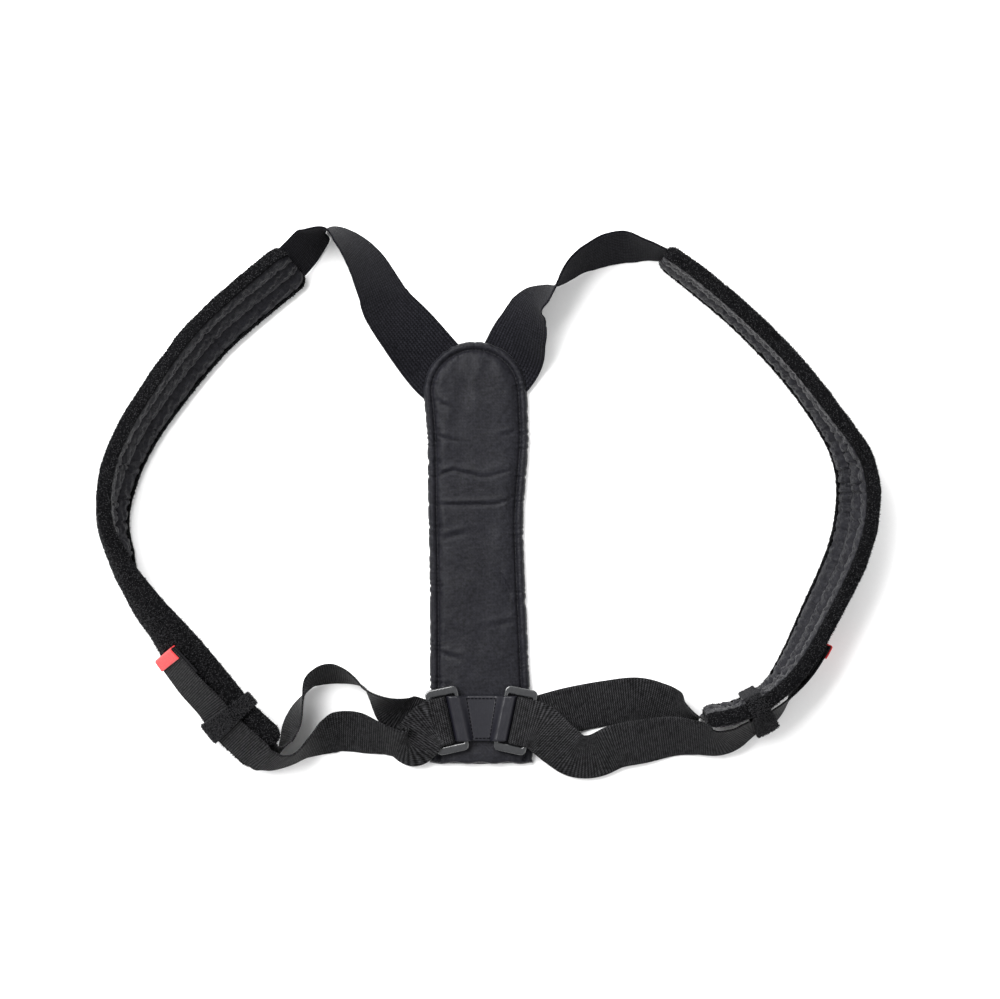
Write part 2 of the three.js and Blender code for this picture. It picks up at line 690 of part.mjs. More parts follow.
function webbingBody(side) {
  const ring = ringFrame(side);
  const padEnd = padFrame(side, shoulderPadLength);
  const start = padEnd.point.clone().addScaledVector(padEnd.ahead, gap)
    .addScaledVector(padEnd.across, side.seat * (webbingWidth - shoulderPadWidth) / 2);
  const under = ring.outerBar.clone();
  under.z = strandLevel - strapFold;
  const over = ring.outerBar.clone();
  over.z = strandLevel + strapFold;
  const lay = layStations(side, keeperSetback * side.leave, hookReach, 16);
  const outward = freeStations(underRoutes[side.name], start, under, webbingWidth, 36);
  outward[0].ahead = padEnd.ahead;
  outward[0].across = padEnd.across;
  const homeward = freeStations(overRoutes[side.name], over, lay[0].point, webbingWidth, 34, -1);
  homeward.pop();
  const fold = foldStations(ring);
  outward.at(-1).ahead = ring.inward;
  homeward[0].ahead = ring.inward.clone().negate();
  return strap(framesAlong([...outward, ...fold, ...homeward, ...lay]), webbingWidth, webbingThickness);
}

// The strap's half turn round the ring's outer bar, close to the fold of the band
function foldStations(ring) {
  const reach = ringPitch - bandLoop - gap * 2 - strapFold - webbingThickness / 2;
  const centre = ring.outerBar.clone().addScaledVector(ring.inward, reach);
  const steps = 6;
  return Array.from({ length: steps + 1 }, (_, i) => {
    const turn = Math.PI * i / steps;
    const point = centre.clone().addScaledVector(ring.inward, strapFold * Math.sin(turn))
      .addScaledVector(up, -strapFold * Math.cos(turn));
    const ahead = ring.inward.clone().multiplyScalar(Math.cos(turn)).addScaledVector(up, Math.sin(turn));
    return { point, ahead, across: ring.along };
  });
}

// Hook patch: between the end of the webbing and the pad

function hookBody(side) {
  const setbacks = [0, 0.25, 0.5, 0.75, 1].map((share) => hookReach - hookLength * (1 - share));
  const stations = setbacks.map((setback) => overPad(side, shoulderPadLength - setback,
    layPlay + hookThickness / 2));
  return strap(framesAlong(stations), webbingWidth - 2 * gap, hookThickness);
}

// Pull tab: folded round the end of the webbing and its hook patch

function tabBody(side) {
  const low = layPlay;
  const high = layHeight(hookReach) + webbingThickness / 2 + 2 * gap;
  const outer = high + tabThickness;
  const start = hookReach - tabLength;
  const stem = hookReach + 2 * gap;
  const end = stem + tabThickness;
  const profile = [
    [start, high], [start, outer], [start + tabLength / 2, outer], [end - tabThickness / 2, outer],
    [end, outer - tabThickness / 2], [end, low], [stem, low], [stem, high], [start + tabLength / 2, high],
  ];
  const half = webbingWidth / 2 - gap;
  const rings = [-half, 0, half].map((place) => profile.map(([setback, height]) => {
    const spot = overPad(side, shoulderPadLength - setback, height);
    return spot.point.addScaledVector(spot.across, place);
  }));
  const flat = profile.map(([setback, height]) => new THREE.Vector2(setback, height));
  return loft(rings, flat, flat);
}

// Keeper: a pile loop round the pad and the webbing

// Points round a section at a clearance, found by its widest reach in each direction
function hullRing(spots, clearance) {
  const count = 24;
  return Array.from({ length: count }, (_, i) => {
    const turn = 2 * Math.PI * i / count;
    const way = new THREE.Vector2(Math.cos(turn), Math.sin(turn));
    const far = spots.reduce((best, spot) => (spot.dot(way) > best.dot(way) ? spot : best));
    return far.clone().addScaledVector(way, clearance);
  });
}

function keeperBody(side) {
  const lean = rad(layLean(side, keeperSetback));
  const half = webbingWidth / 2 * Math.cos(lean);
  const top = facingThickness + layHeight(keeperSetback) + webbingThickness / 2;
  const low = top + webbingWidth * Math.sin(lean);
  const shares = [-0.5, 0, 0.5];
  const rings = { inner: [], outer: [] };
  for (const share of shares) {
    const frame = padFrame(side, shoulderPadLength - keeperSetback + share * keeperLength);
    const spots = [
      ...facingSection(frame.cup, frame.width, 1), ...liningSection(frame.cup, frame.width, 1),
      new THREE.Vector2(half, top), new THREE.Vector2(-half, low),
    ];
    rings.inner.push(placed(frame, hullRing(spots, 4 * gap)));
    rings.outer.push(placed(frame, hullRing(spots, 4 * gap + keeperThickness)));
  }
  return closedLoft([...rings.outer, ...rings.inner.reverse()]);
}

// Rings and their band

function ringBody() {
  const window = webbingWidth + 2 * ringPlay;
  const outer = roundedRectangle(new THREE.Shape(), ringWindow + 2 * ringLongBar,
    window + 2 * ringShortBar, ringShortBar * 0.7);
  outer.holes.push(roundedRectangle(new THREE.Path(), ringWindow, window, ringLongBar * 0.3));
  const body = new THREE.ExtrudeGeometry(outer, { depth: ringThickness, bevelEnabled: false, curveSegments: 4 });
  body.translate(0, 0, -ringThickness / 2);
  return body;
}

function roundedRectangle(path, width, height, radius) {
  const x = width / 2 - radius;
  const y = height / 2 - radius;
  path.absarc(x, y, radius, 0, Math.PI / 2);
  path.absarc(-x, y, radius, Math.PI / 2, Math.PI);
  path.absarc(-x, -y, radius, Math.PI, Math.PI * 1.5);
  path.absarc(x, -y, radius, Math.PI * 1.5, Math.PI * 2);
  path.closePath();
  return path;
}

// The band seen from its lower edge: a loop round each inner bar, stitched flat between them
function bandBody() {
  const bar = bandLength / 2 - bandLoop;
  const loop = barRadius + bandThickness;
  const end = bandLength / 2 - loop;
  const flat = -loop + 2 * bandThickness + gap;
  const shape = new THREE.Shape();
  shape.moveTo(-end, -loop);
  shape.lineTo(end, -loop);
  shape.absarc(end, 0, loop, -Math.PI / 2, Math.PI / 2);
  shape.lineTo(bar, loop);
  shape.quadraticCurveTo(bar - loop, loop * 0.6, bar - 1.6 * loop, flat);
  shape.lineTo(1.6 * loop - bar, flat);
  shape.quadraticCurveTo(loop - bar, loop * 0.6, -bar, loop);
  shape.lineTo(-end, loop);
  shape.absarc(-end, 0, loop, Math.PI / 2, Math.PI * 1.5);
  for (const hand of [-1, 1]) {
    const slot = new THREE.Path();
    const [near, far] = hand < 0 ? [-end, -bar] : [bar, end];
    slot.absarc(far, 0, barRadius, -Math.PI / 2, Math.PI / 2);
    slot.absarc(near, 0, barRadius, Math.PI / 2, Math.PI * 1.5);
    slot.closePath();
    shape.holes.push(slot);
  }
  const body = new THREE.ExtrudeGeometry(shape, {
    depth: bandWidth, bevelEnabled: false, curveSegments: 4,
  });
  body.rotateX(Math.PI / 2);
  body.translate(0, bandWidth / 2, 0);
  return followRings(body, bar - barRadius * 1.3);
}

// The band's ends slant with the turned rings, beyond a distance from its middle
function followRings(body, start) {
  const position = body.attributes.position;
  for (let i = 0; i < position.count; i += 1) {
    const share = THREE.MathUtils.clamp(position.getX(i) / start, -1, 1);
    position.setX(i, position.getX(i) + position.getY(i) * Math.tan(rad(ringTurn)) * share);
  }
  return body;
}

// The right side is drawn as the left side is, and then mirrored

function mirrored(geometry, side) {
  if (side.mirror > 0) return geometry;
  const index = geometry.index.array;
  const position = geometry.attributes.position;
  for (let i = 0; i < position.count; i += 1) position.setX(i, -position.getX(i));
  for (let i = 0; i < index.length; i += 3) [index[i], index[i + 1]] = [index[i + 1], index[i]];
  return geometry;
}

// Where the shoulder pad of a side has its two ends
function layOut(side) {
  const ring = ringFrame(side);
  const out = new THREE.Vector3(-Math.cos(rad(side.strapTurn)), -Math.sin(rad(side.strapTurn)), 0);
  const lower = ring.outerBar.clone().addScaledVector(out, webbingSpan * side.reach);
  const rise = new THREE.Vector3(Math.sin(rad(side.padTurn)), Math.cos(rad(side.padTurn)), 0);
  const upper = lower.clone().addScaledVector(rise, shoulderPadLength * side.bow);
  return { ...side, lower, upper, even: evenShare(shoulderRoutes[side.name], upper, lower) };
}

// Materials

function cloth(colour, roughness) {
  return new THREE.MeshStandardMaterial({ color: colour, roughness, metalness: 0 });
}

const colours = {
  satin: 0x26262b, pile: 0x141416, elastic: 0x17171a, webbing: 0x232325,
  hook: 0x101012, tab: 0xe84a4a, ring: 0x3a3c40, band: 0x1b1c22,
};

function piece(name, geometry, material) {
  const mesh = new THREE.Mesh(geometry, material);
  mesh.name = name;
  return mesh;
}

// Assembly

const model = new THREE.Group();
model.name = 'posture_corrector';
model.add(piece('back_pad', backPadBody(), cloth(colours.satin, 0.6)));

const bandMesh = piece('ring_band', bandBody(), cloth(colours.band, 0.45));
bandMesh.position.copy(bandCentre);
model.add(bandMesh);

const clearance = backPadClearance();
for (const side of sides.map(layOut)) {
  const add = (name, geometry, material) => model.add(
    piece(`${name}_${side.name}`, mirrored(geometry, side), material));
  model.add(piece(`elastic_strap_${side.name}`, elasticBody(side, clearance), cloth(colours.elastic, 0.85)));
  add('shoulder_facing', padBody(side, facingSection), cloth(colours.pile, 0.95));
  add('shoulder_lining', padBody(side, liningSection), cloth(colours.satin, 0.6));
  add('webbing', webbingBody(side), cloth(colours.webbing, 0.7));
  add('hook_patch', hookBody(side), cloth(colours.hook, 0.9));
  add('pull_tab', tabBody(side), cloth(colours.tab, 0.6));
  add('keeper', keeperBody(side), cloth(colours.pile, 0.95));
  const ring = ringFrame(side);
  const ringMesh = piece(`ring_${side.name}`, ringBody(),
    new THREE.MeshStandardMaterial({ color: colours.ring, roughness: 0.25, metalness: 0.1 }));
  ringMesh.position.copy(ring.outerBar).addScaledVector(ring.inward, ringPitch / 2);
  ringMesh.position.x *= side.mirror;
  ringMesh.rotation.z = rad(ringTurn) * side.mirror;
  model.add(ringMesh);
}

// The origin goes to the middle of the underside
const bounds = new THREE.Box3().setFromObject(model);
const middle = bounds.getCenter(new THREE.Vector3());
model.position.set(-middle.x, -middle.y, -bounds.min.z);

export default model;
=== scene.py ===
import math

import bpy
import numpy as np
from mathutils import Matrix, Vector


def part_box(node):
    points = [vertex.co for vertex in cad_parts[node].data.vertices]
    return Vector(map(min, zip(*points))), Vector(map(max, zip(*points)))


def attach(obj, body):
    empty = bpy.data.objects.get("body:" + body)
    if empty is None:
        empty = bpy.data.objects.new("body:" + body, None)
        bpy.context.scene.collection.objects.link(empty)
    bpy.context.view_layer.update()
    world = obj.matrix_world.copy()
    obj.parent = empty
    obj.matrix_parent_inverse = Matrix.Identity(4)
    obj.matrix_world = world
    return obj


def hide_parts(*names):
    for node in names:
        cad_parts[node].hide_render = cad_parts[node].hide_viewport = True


# Posture corrector laid flat. Lengths below are millimetres and turn into metres where a mesh is made.
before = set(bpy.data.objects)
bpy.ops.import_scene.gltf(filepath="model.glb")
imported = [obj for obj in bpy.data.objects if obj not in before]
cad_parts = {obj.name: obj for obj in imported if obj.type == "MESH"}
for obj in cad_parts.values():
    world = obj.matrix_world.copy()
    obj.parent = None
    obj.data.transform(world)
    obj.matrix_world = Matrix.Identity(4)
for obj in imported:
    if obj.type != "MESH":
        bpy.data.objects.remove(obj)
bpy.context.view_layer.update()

elastic = {"width": 51.0, "thick": 1.6}
pad = {"length": 485.0, "width": 55.0, "facing": 6.0, "lining": 5.0, "rim": 3.0, "channel": 2.2,
       "corner": 11.0}
webbing = {"width": 38.0, "thick": 1.5, "span": 133.0, "pitch": 1.8, "rib": 0.36}
back = {"length": 338.0, "width": 83.0, "thick": 11.0, "foot": 0.88, "lean": -0.08}
ring = {"window": 20.0, "longBar": 3.2, "shortBar": 6.4, "thick": 3.0, "play": 0.9, "turn": 12.0,
        "slide": 1.0}
band = {"length": 49.0, "width": 36.0, "thick": 1.5, "loop": 8.6, "rise": 37.5, "shift": 2.0}
keeper = {"length": 15.0, "thick": 2.0, "setback": 41.0}
hook = {"length": 26.0, "thick": 1.8, "reach": 111.0}
tab = {"length": 9.0, "thick": 1.1}
play = {"gap": 0.35, "bar": 0.55, "lay": 0.85, "floor": 0.5}

# from the drawing below, with its zero at the back pad's lower edge, to the row frame
bandLow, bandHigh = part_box("ring_band")
padLow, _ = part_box("back_pad")
offset = np.array([(bandLow.x + bandHigh.x) * 500 - band["shift"],
                   (bandLow.y + bandHigh.y) * 500 - band["rise"], padLow.z * 1000])
upright = np.array([0, 0, 1.0])

ringPitch = ring["window"] + ring["longBar"]
barRadius = math.hypot(ring["longBar"], ring["thick"]) / 2 + play["bar"]
strapFold = barRadius + webbing["thick"] / 2
strandLevel = back["thick"] + play["gap"] + barRadius + webbing["thick"]

# reach and bow are shares of the webbing's span and the pad's length, turns are degrees; leave, seat and
# standOff say where the webbing lets go of the pad, which edge it starts at and how far it leans there
sides = {
    "left": {"mirror": 1, "bow": 0.80, "padTurn": 3.2, "strapTurn": 9.6, "reach": 1.0, "leave": 0.12,
             "seat": 0, "standOff": 0},
    "right": {"mirror": -1, "bow": 0.76, "padTurn": 5.9, "strapTurn": -2.5, "reach": 1.04, "leave": 0.75,
              "seat": 1, "standOff": 24},
}

# elastic: along, off, roll, near, far
elasticRows = {
    "left": [
        (0.08, 0.01, 0, 1, 0), (0.19, 0.01, 4, 0.9, 0), (0.39, -0.045, 21, 0.3, 0),
        (0.53, -0.085, 36, 0, 0), (0.61, -0.13, 46, 0, 0), (0.7, -0.18, 53, 0, 0),
        (0.78, -0.21, 60, 0, 0), (0.86, -0.225, 69, 0, 0), (0.925, -0.225, 78, 0, 0),
        (0.965, -0.205, 90, 0, 0), (0.985, -0.15, 112, 0, 0.1), (0.99, -0.075, 118, 0, 0.5),
        (1, 0, 119, 0, 1),
    ],
    "right": [
        (0.08, 0.01, 0, 1, 0), (0.2, -0.02, 6, 0.8, 0), (0.31, -0.09, 34, 0.1, 0),
        (0.38, -0.14, 50, 0, 0), (0.43, -0.165, 62, 0, 0), (0.49, -0.165, 74, 0, 0),
        (0.55, -0.17, 90, 0, 0), (0.62, -0.185, 101, 0, 0), (0.69, -0.19, 107, 0, 0),
        (0.75, -0.18, 112, 0, 0), (0.81, -0.165, 115, 0, 0), (0.88, -0.13, 114, 0, 0),
        (0.94, -0.07, 103, 0, 0.4), (1, 0, 95, 0, 1),
    ],
}

# shoulder pads: along, off, roll, cup
padRows = {
    "left": [
        (0, 0, 120, 20), (0.125, -0.133, 119, 35), (0.194, -0.192, 118, 35),
        (0.274, -0.246, 115, 40), (0.357, -0.295, 112, 45), (0.439, -0.328, 109, 50),
        (0.533, -0.341, 101, 60), (0.614, -0.322, 90, 80), (0.696, -0.272, 73, 75),
        (0.803, -0.184, 57, 50), (0.884, -0.116, 50, 35), (0.937, -0.072, 47, 25), (1, 0, 45, 15),
    ],
    "right": [
        (0.005, -0.015, 95, 20), (0.06, -0.075, 97, 25), (0.156, -0.168, 97, 35),
        (0.272, -0.26, 98, 40), (0.395, -0.334, 101, 40), (0.491, -0.374, 110, 40),
        (0.585, -0.373, 114, 40), (0.685, -0.34, 112, 40), (0.814, -0.264, 108, 30),
        (0.903, -0.205, 102, 22), (0.965, -0.143, 94, 20), (0.995, -0.07, 92, 20), (1, 0, 94, 20),
    ],
}

# webbing out to the ring: along, off, roll, near, far
underRows = {
    "left": [
        (0, 0, 46, 1, 0), (0.028, -0.018, 58, 0.9, 0), (0.06, -0.015, 76, 0.6, 0),
        (0.092, 0.006, 92, 0.25, 0), (0.122, 0.05, 105, 0, 0), (0.161, 0.12, 112, 0, 0),
        (0.207, 0.19, 110, 0, 0), (0.258, 0.27, 97, 0, 0), (0.32, 0.367, 77, 0, 0),
        (0.385, 0.395, 66, 0, 0), (0.46, 0.396, 63, 0, 0), (0.53, 0.37, 70, 0, 0),
        (0.59, 0.328, 80, 0, 0), (0.635, 0.278, 87, 0, 0), (0.685, 0.214, 76, 0, 0),
        (0.74, 0.156, 58, 0, 0.05), (0.805, 0.1, 34, 0, 0.35), (0.865, 0.055, 14, 0, 0.85),
        (0.915, 0.022, 2, 0, 1), (0.955, 0.004, 0, 0, 1), (1, 0, 0, 0, 1),
    ],
    "right": [
        (0, 0, 94, 1, 0), (0.03, 0, 84, 0.9, 0), (0.065, 0.006, 66, 0.6, 0),
        (0.105, 0.018, 49, 0.25, 0), (0.165, 0.044, 33, 0, 0), (0.25, 0.075, 22, 0, 0.05),
        (0.38, 0.105, 14, 0, 0.2), (0.54, 0.095, 14, 0, 0.1), (0.72, 0.07, 12, 0, 0.3),
        (0.88, 0.035, 4, 0, 0.95), (1, 0, 0, 0, 1),
    ],
}

# webbing back to the pad: along, off, roll, near, far
overRows = {
    "left": [
        (0, 0, 0, 1, 0), (0.05, 0.03, 0, 1, 0), (0.1, 0.078, 4, 1, 0), (0.145, 0.108, 26, 0.7, 0),
        (0.21, 0.084, 50, 0.2, 0), (0.27, 0.054, 50, 0, 0), (0.335, 0.023, 42, 0, 0),
        (0.416, -0.013, 30, 0, 0), (0.48, -0.032, 27, 0, 0), (0.538, -0.04, 31, 0, 0),
        (0.592, -0.028, 43, 0, 0), (0.645, -0.004, 56, 0, 0), (0.7, 0.022, 67, 0, 0),
        (0.757, 0.048, 76, 0, 0), (0.81, 0.067, 77, 0, 0.08), (0.861, 0.073, 74, 0, 0.3),
        (0.905, 0.068, 68, 0, 0.58), (0.945, 0.052, 60, 0, 0.82), (0.977, 0.032, 52, 0, 0.95),
        (1, 0, 46, 0, 1),
    ],
    "right": [
        (0, 0, 0, 1, 0), (0.05, 0.02, 0, 1, 0), (0.13, 0.09, 12, 0.8, 0),
        (0.21, 0.145, 20, 0.5, 0), (0.3, 0.145, 20, 0.45, 0), (0.4, 0.1, 18, 0.45, 0),
        (0.52, 0.075, 18, 0.4, 0), (0.66, 0.05, 30, 0.15, 0), (0.76, 0.052, 42, 0, 0.15),
        (0.86, 0.066, 54, 0, 0.4), (0.94, 0.04, 62, 0, 0.8), (1, 0, 66, 0, 1),
    ],
}


def cubic(a, b, c, d, f):
    # Catmull-Rom from b to c at the share f of the way
    m0, m1 = (c - a) / 2, (d - b) / 2
    return (2 * b - 2 * c + m0 + m1) * f ** 3 + (-3 * b + 3 * c - 2 * m0 - m1) * f ** 2 + m0 * f + b


def smoothRows(table, share):
    # Catmull-Rom through the rows, every column at once
    rows = np.array(table, float)
    last = len(rows) - 1
    place = np.clip(np.atleast_1d(share), 0, 1) * last
    index = np.minimum(place.astype(int), last - 1)
    f = (place - index)[:, None]
    a, b, c, d = (rows[np.clip(index + step, 0, last)] for step in (-1, 0, 1, 2))
    return cubic(a, b, c, d, f)


def routeXY(rows, start, end):
    # along the straight line from start to end, plus off to its left
    run = np.array([end[0] - start[0], end[1] - start[1]])
    left = np.array([-run[1], run[0]])
    flat = np.array(start[:2]) + rows[:, :1] * run + rows[:, 1:2] * left
    return np.column_stack([flat, np.zeros(len(flat))])


def lengthsOf(points):
    # the way along a line of points up to each of them
    return np.concatenate([[0], np.cumsum(np.linalg.norm(np.diff(points, axis=0), axis=1))])


def between(points, length, spots):
    # every column of the points at spots along them
    return np.column_stack([np.interp(spots, length, column) for column in points.T])


def closedEnds(grid):
    # the first and the last row drawn in to their middles
    middle = grid.mean(1, keepdims=True) + 0 * grid
    return np.concatenate([middle[:1], grid, middle[-1:]])


def blunt(value, power):
    # a sine or cosine pushed out towards one, for a section between round and square
    return np.sign(value) * np.abs(value) ** power


def unit(v):
    return v / np.maximum(np.linalg.norm(v, axis=-1, keepdims=True), 1e-9)


def smoothStep(x, low, high):
    t = np.clip((x - low) / (high - low), 0, 1)
    return t * t * (3 - 2 * t)


def evenShare(rows, start, end):
    # table share at an even share of the route's own length
    shares = np.linspace(0, 1, 241)
    length = lengthsOf(routeXY(smoothRows(rows, shares), start, end))
    return lambda share: np.interp(np.clip(share, 0, 1) * length[-1], length, shares)


def across(ahead, roll, hand=1.0):
    # level to the left of the way, turned up by the roll, square to the way
    level = unit(np.column_stack([-ahead[:, 1], ahead[:, 0], np.zeros(len(ahead))]))
    turn = np.radians(roll)[:, None]
    width = level * hand * np.cos(turn) + upright * np.sin(turn)
    return unit(width - ahead * np.sum(width * ahead, axis=1, keepdims=True))


def noise(x, y, scale, seed, octaves=4):
    # seeded smooth noise, about -1 to 1: a few crossed sine waves per octave
    local = np.random.default_rng(seed)
    total = np.zeros(np.broadcast(x, y).shape)
    for octave in range(octaves):
        size = scale / 2 ** octave
        for _ in range(5):
            turn, phase = local.uniform(0, math.tau), local.uniform(0, math.tau)
            stretch = local.uniform(0.7, 1.4)
            way = (x * math.cos(turn) + y * math.sin(turn)) * math.tau / size * stretch
            total = total + np.sin(way + phase) * 0.55 ** octave / 5 ** 0.5
    return total / 1.9


def addMesh(name, points, faces, uv, material, node=None):
    # one mesh at the origin, in metres, nowhere under the floor, with its own UV map in metres
    mesh = bpy.data.meshes.new(name)
    points = np.asarray(points, float).reshape(-1, 3)
    points[:, 2] = np.maximum(points[:, 2], 0)
    faces = np.asarray(faces, np.int32)
    count, corners = faces.shape
    mesh.vertices.add(len(points))
    mesh.vertices.foreach_set("co", (points / 1000).astype(np.float32).ravel())
    mesh.loops.add(faces.size)
    mesh.loops.foreach_set("vertex_index", faces.ravel())
    mesh.polygons.add(count)
    mesh.polygons.foreach_set("loop_start", np.arange(count, dtype=np.int32) * corners)
    mesh.polygons.foreach_set("loop_total", np.full(count, corners, np.int32))
    mesh.update(calc_edges=True)
    if uv is not None:
        layer = mesh.uv_layers.new(name="UVMap")
        layer.data.foreach_set("uv", (np.asarray(uv) / 1000).astype(np.float32).ravel())
    mesh.polygons.foreach_set("use_smooth", np.ones(count, bool))
    mesh.materials.append(material)
    obj = bpy.data.objects.new(name, mesh)
    bpy.context.scene.collection.objects.link(obj)
    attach(obj, "root")
    if node:
        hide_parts(node)
    return obj


def gridFaces(nu, nv, wrapU, wrapV, alongU, alongV):
    # quads of a grid of nu by nv points, and the UV of each corner
    cu, cv = nu - (not wrapU), nv - (not wrapV)
    i, j = np.meshgrid(np.arange(cu), np.arange(cv), indexing="ij")
    ni, nj = (i + 1) % nu, (j + 1) % nv
    quads = np.stack([i * nv + j, ni * nv + j, ni * nv + nj, i * nv + nj], -1).reshape(-1, 4)
    corners = [(i, j), (i + 1, j), (i + 1, j + 1), (i, j + 1)]
    uv = np.stack([np.stack([alongU[a], alongV[b]], -1) for a, b in corners], -2).reshape(-1, 2)
    return quads, uv


def addGrid(name, grid, material, node=None, wrapU=False, wrapV=True, runs=None):
    # a surface from a grid of points, first index along, second round or across; runs: its own U lengths
    lengthU = np.linalg.norm(np.diff(grid, axis=0), axis=2).mean(1)
    around = np.concatenate([grid, grid[:, :1]], 1) if wrapV else grid
    alongU = np.concatenate([[0], np.cumsum(lengthU)])
    if wrapU:
        alongU = np.append(alongU, alongU[-1] + np.linalg.norm(grid[0] - grid[-1], axis=1).mean())
    alongU = alongU if runs is None else runs
    alongV = lengthsOf(around[len(grid) // 2])
    quads, uv = gridFaces(grid.shape[0], grid.shape[1], wrapU, wrapV, alongU, alongV)
    flat = grid.reshape(-1, 3)
    a, b, c = flat[quads[:, 0]], flat[quads[:, 1]], flat[quads[:, 2]]
    if np.sum(a * np.cross(b, c)) + np.sum(a * np.cross(c, flat[quads[:, 3]])) < 0:
        quads, uv = quads[:, ::-1], uv.reshape(-1, 4, 2)[:, ::-1].reshape(-1, 2)
    return addMesh(name, flat, quads, uv, material, node)


def intoRow(grid, side):
    # from a side's own drawing to the row frame, the right side mirrored
    out = np.array(grid, float)
    out[..., 0] *= sides[side]["mirror"]
    return out + offset


def scatterSolids(centres, along, upward, size, shape, faces):
    # the same small solid at many places, in axes along, side and up, scaled by size per place
    side = unit(np.cross(upward, along))
    upward = unit(np.cross(along, side))
    local = shape[None] * size[:, None, :]
    points = centres[:, None] + local[..., :1] * along[:, None] + local[..., 1:2] * side[:, None] \
        + local[..., 2:] * upward[:, None]
    count = len(shape)
    index = faces[None] + (np.arange(len(centres)) * count)[:, None, None]
    return points.reshape(-1, 3), index.reshape(-1, faces.shape[1])


# a stitch: a short rounded thread, six-sided with closed, narrower ends
stitchTurn = np.arange(6) / 6 * math.tau
stitchRows = [(-0.5, 0.25), (-0.38, 0.8), (0, 1.0), (0.38, 0.8), (0.5, 0.25)]
stitchShape = np.array([(x, 0.5 * r * math.cos(t), 0.5 * r * math.sin(t))
                        for x, r in stitchRows for t in stitchTurn])
stitchFaces = np.array([(k + i, k + (i + 1) % 6, k + 6 + (i + 1) % 6, k + 6 + i)
                        for k in (0, 6, 12, 18) for i in range(6)]
                       + [(0, 5, 4, 3), (0, 3, 2, 1), (24, 25, 26, 27), (24, 27, 28, 29)])


def stitchRow(points, normals, pitch, size):
    # stitches at an even pitch along a line: each one lies along the line, on the cloth
    length = lengthsOf(points)
    spots = np.arange(pitch / 2, length[-1], pitch)
    ahead = between(points, length, spots + pitch * 0.3) - between(points, length, spots - pitch * 0.3)
    upward = unit(between(normals, length, spots))
    return between(points, length, spots), unit(ahead), upward, np.tile(size, (len(spots), 1))


def addStitches(name, rows, material):
    parts = [scatterSolids(*row, stitchShape, stitchFaces) for row in rows]
    points = np.concatenate([p for p, _ in parts])
    starts = np.cumsum([0] + [len(p) for p, _ in parts])[:-1]
    faces = np.concatenate([f + s for (_, f), s in zip(parts, starts)])
    return addMesh(name, points, faces, None, material)


# a pile hair: a three-sided spike with a closed foot
hairShape = np.array([(0.5, 0, 0), (-0.25, 0.433, 0), (-0.25, -0.433, 0), (0, 0, 1.0)])
hairFaces = np.array([(0, 1, 3), (1, 2, 3), (2, 0, 3), (0, 2, 1)])
pileLook = {"height": 1.5, "width": 0.7, "lean": 0.45}


def addPile(name, grid, keep, count, seed):
    # hairs spread evenly over the kept cells of a grid, leaning a little at random
    local = np.random.default_rng(seed)
    a, b, c, d = grid[:-1, :-1], grid[1:, :-1], grid[1:, 1:], grid[:-1, 1:]
    normal = np.cross(b - a, d - a)
    area = np.linalg.norm(normal, axis=-1) * keep
    chosen = local.choice(area.size, count, p=(area / area.sum()).ravel())
    f, g = local.random((2, count, 1))
    pick = [m.reshape(-1, 3)[chosen] for m in (a, b, c, d, normal)]
    spot = pick[0] * (1 - f) * (1 - g) + pick[1] * f * (1 - g) + pick[2] * f * g + pick[3] * (1 - f) * g
    way = unit(unit(pick[4]) + local.normal(0, pileLook["lean"], (count, 3)))
    # hairs near the floor point up
    resting = spot[:, 2] < pileLook["height"] * 1.3
    way[resting, 2] = np.abs(way[resting, 2])
    side = unit(np.cross(way, local.normal(0, 1, (count, 3))))
    tall = pileLook["height"] * local.uniform(0.6, 1.15, count)
    wide = pileLook["width"] * local.uniform(0.7, 1.3, count)
    size = np.column_stack([wide, wide, tall])
    points, faces = scatterSolids(spot - way * 0.15, side, way, size, hairShape, hairFaces)
    return addMesh(name, points, faces, None, pileHair)


# Materials: shared pattern groups first

socketKinds = {"v": "NodeSocketVector", "f": "NodeSocketFloat", "c": "NodeSocketColor"}


def wire(tree, source, target):
    # links a signal or a socket, and sets anything else as the socket's own value
    source = getattr(source, "socket", source)
    if hasattr(source, "is_output"):
        tree.links.new(source, target)
    else:
        target.default_value = source


class Signal:
    # a node's output that adds and multiplies: every step makes one Math node
    def __init__(self, tree, socket):
        self.tree, self.socket = tree, socket

    def do(self, operation, *others):
        node = self.tree.nodes.new("ShaderNodeMath")
        node.operation = operation
        for k, value in enumerate((self, *others)):
            wire(self.tree, value, node.inputs[k])
        return Signal(self.tree, node.outputs[0])

    def __add__(self, other):
        return self.do("ADD", other)

    def __sub__(self, other):
        return self.do("SUBTRACT", other)

    def __mul__(self, other):
        return self.do("MULTIPLY", other)

    def humps(self):
        # the size of a sine: one rounded hump per whole step
        return (self * math.pi).do("SINE").do("ABSOLUTE")


def newGroup(name, inputs, outputs):
    # a group with named inputs and outputs; its inputs come back as signals
    group = bpy.data.node_groups.new(name, "ShaderNodeTree")
    for label, kind, value in inputs:
        socket = group.interface.new_socket(label, in_out="INPUT", socket_type=socketKinds[kind])
        if kind == "f":
            socket.default_value = value
    for label, kind in outputs:
        group.interface.new_socket(label, in_out="OUTPUT", socket_type=socketKinds[kind])
    start, end = group.nodes.new("NodeGroupInput"), group.nodes.new("NodeGroupOutput")
    return group, {label: Signal(group, start.outputs[label]) for label, _, _ in inputs}, end.inputs


def splitVector(tree, vector):
    node = tree.nodes.new("ShaderNodeSeparateXYZ")
    wire(tree, vector, node.inputs[0])
    return Signal(tree, node.outputs["X"]), Signal(tree, node.outputs["Y"])


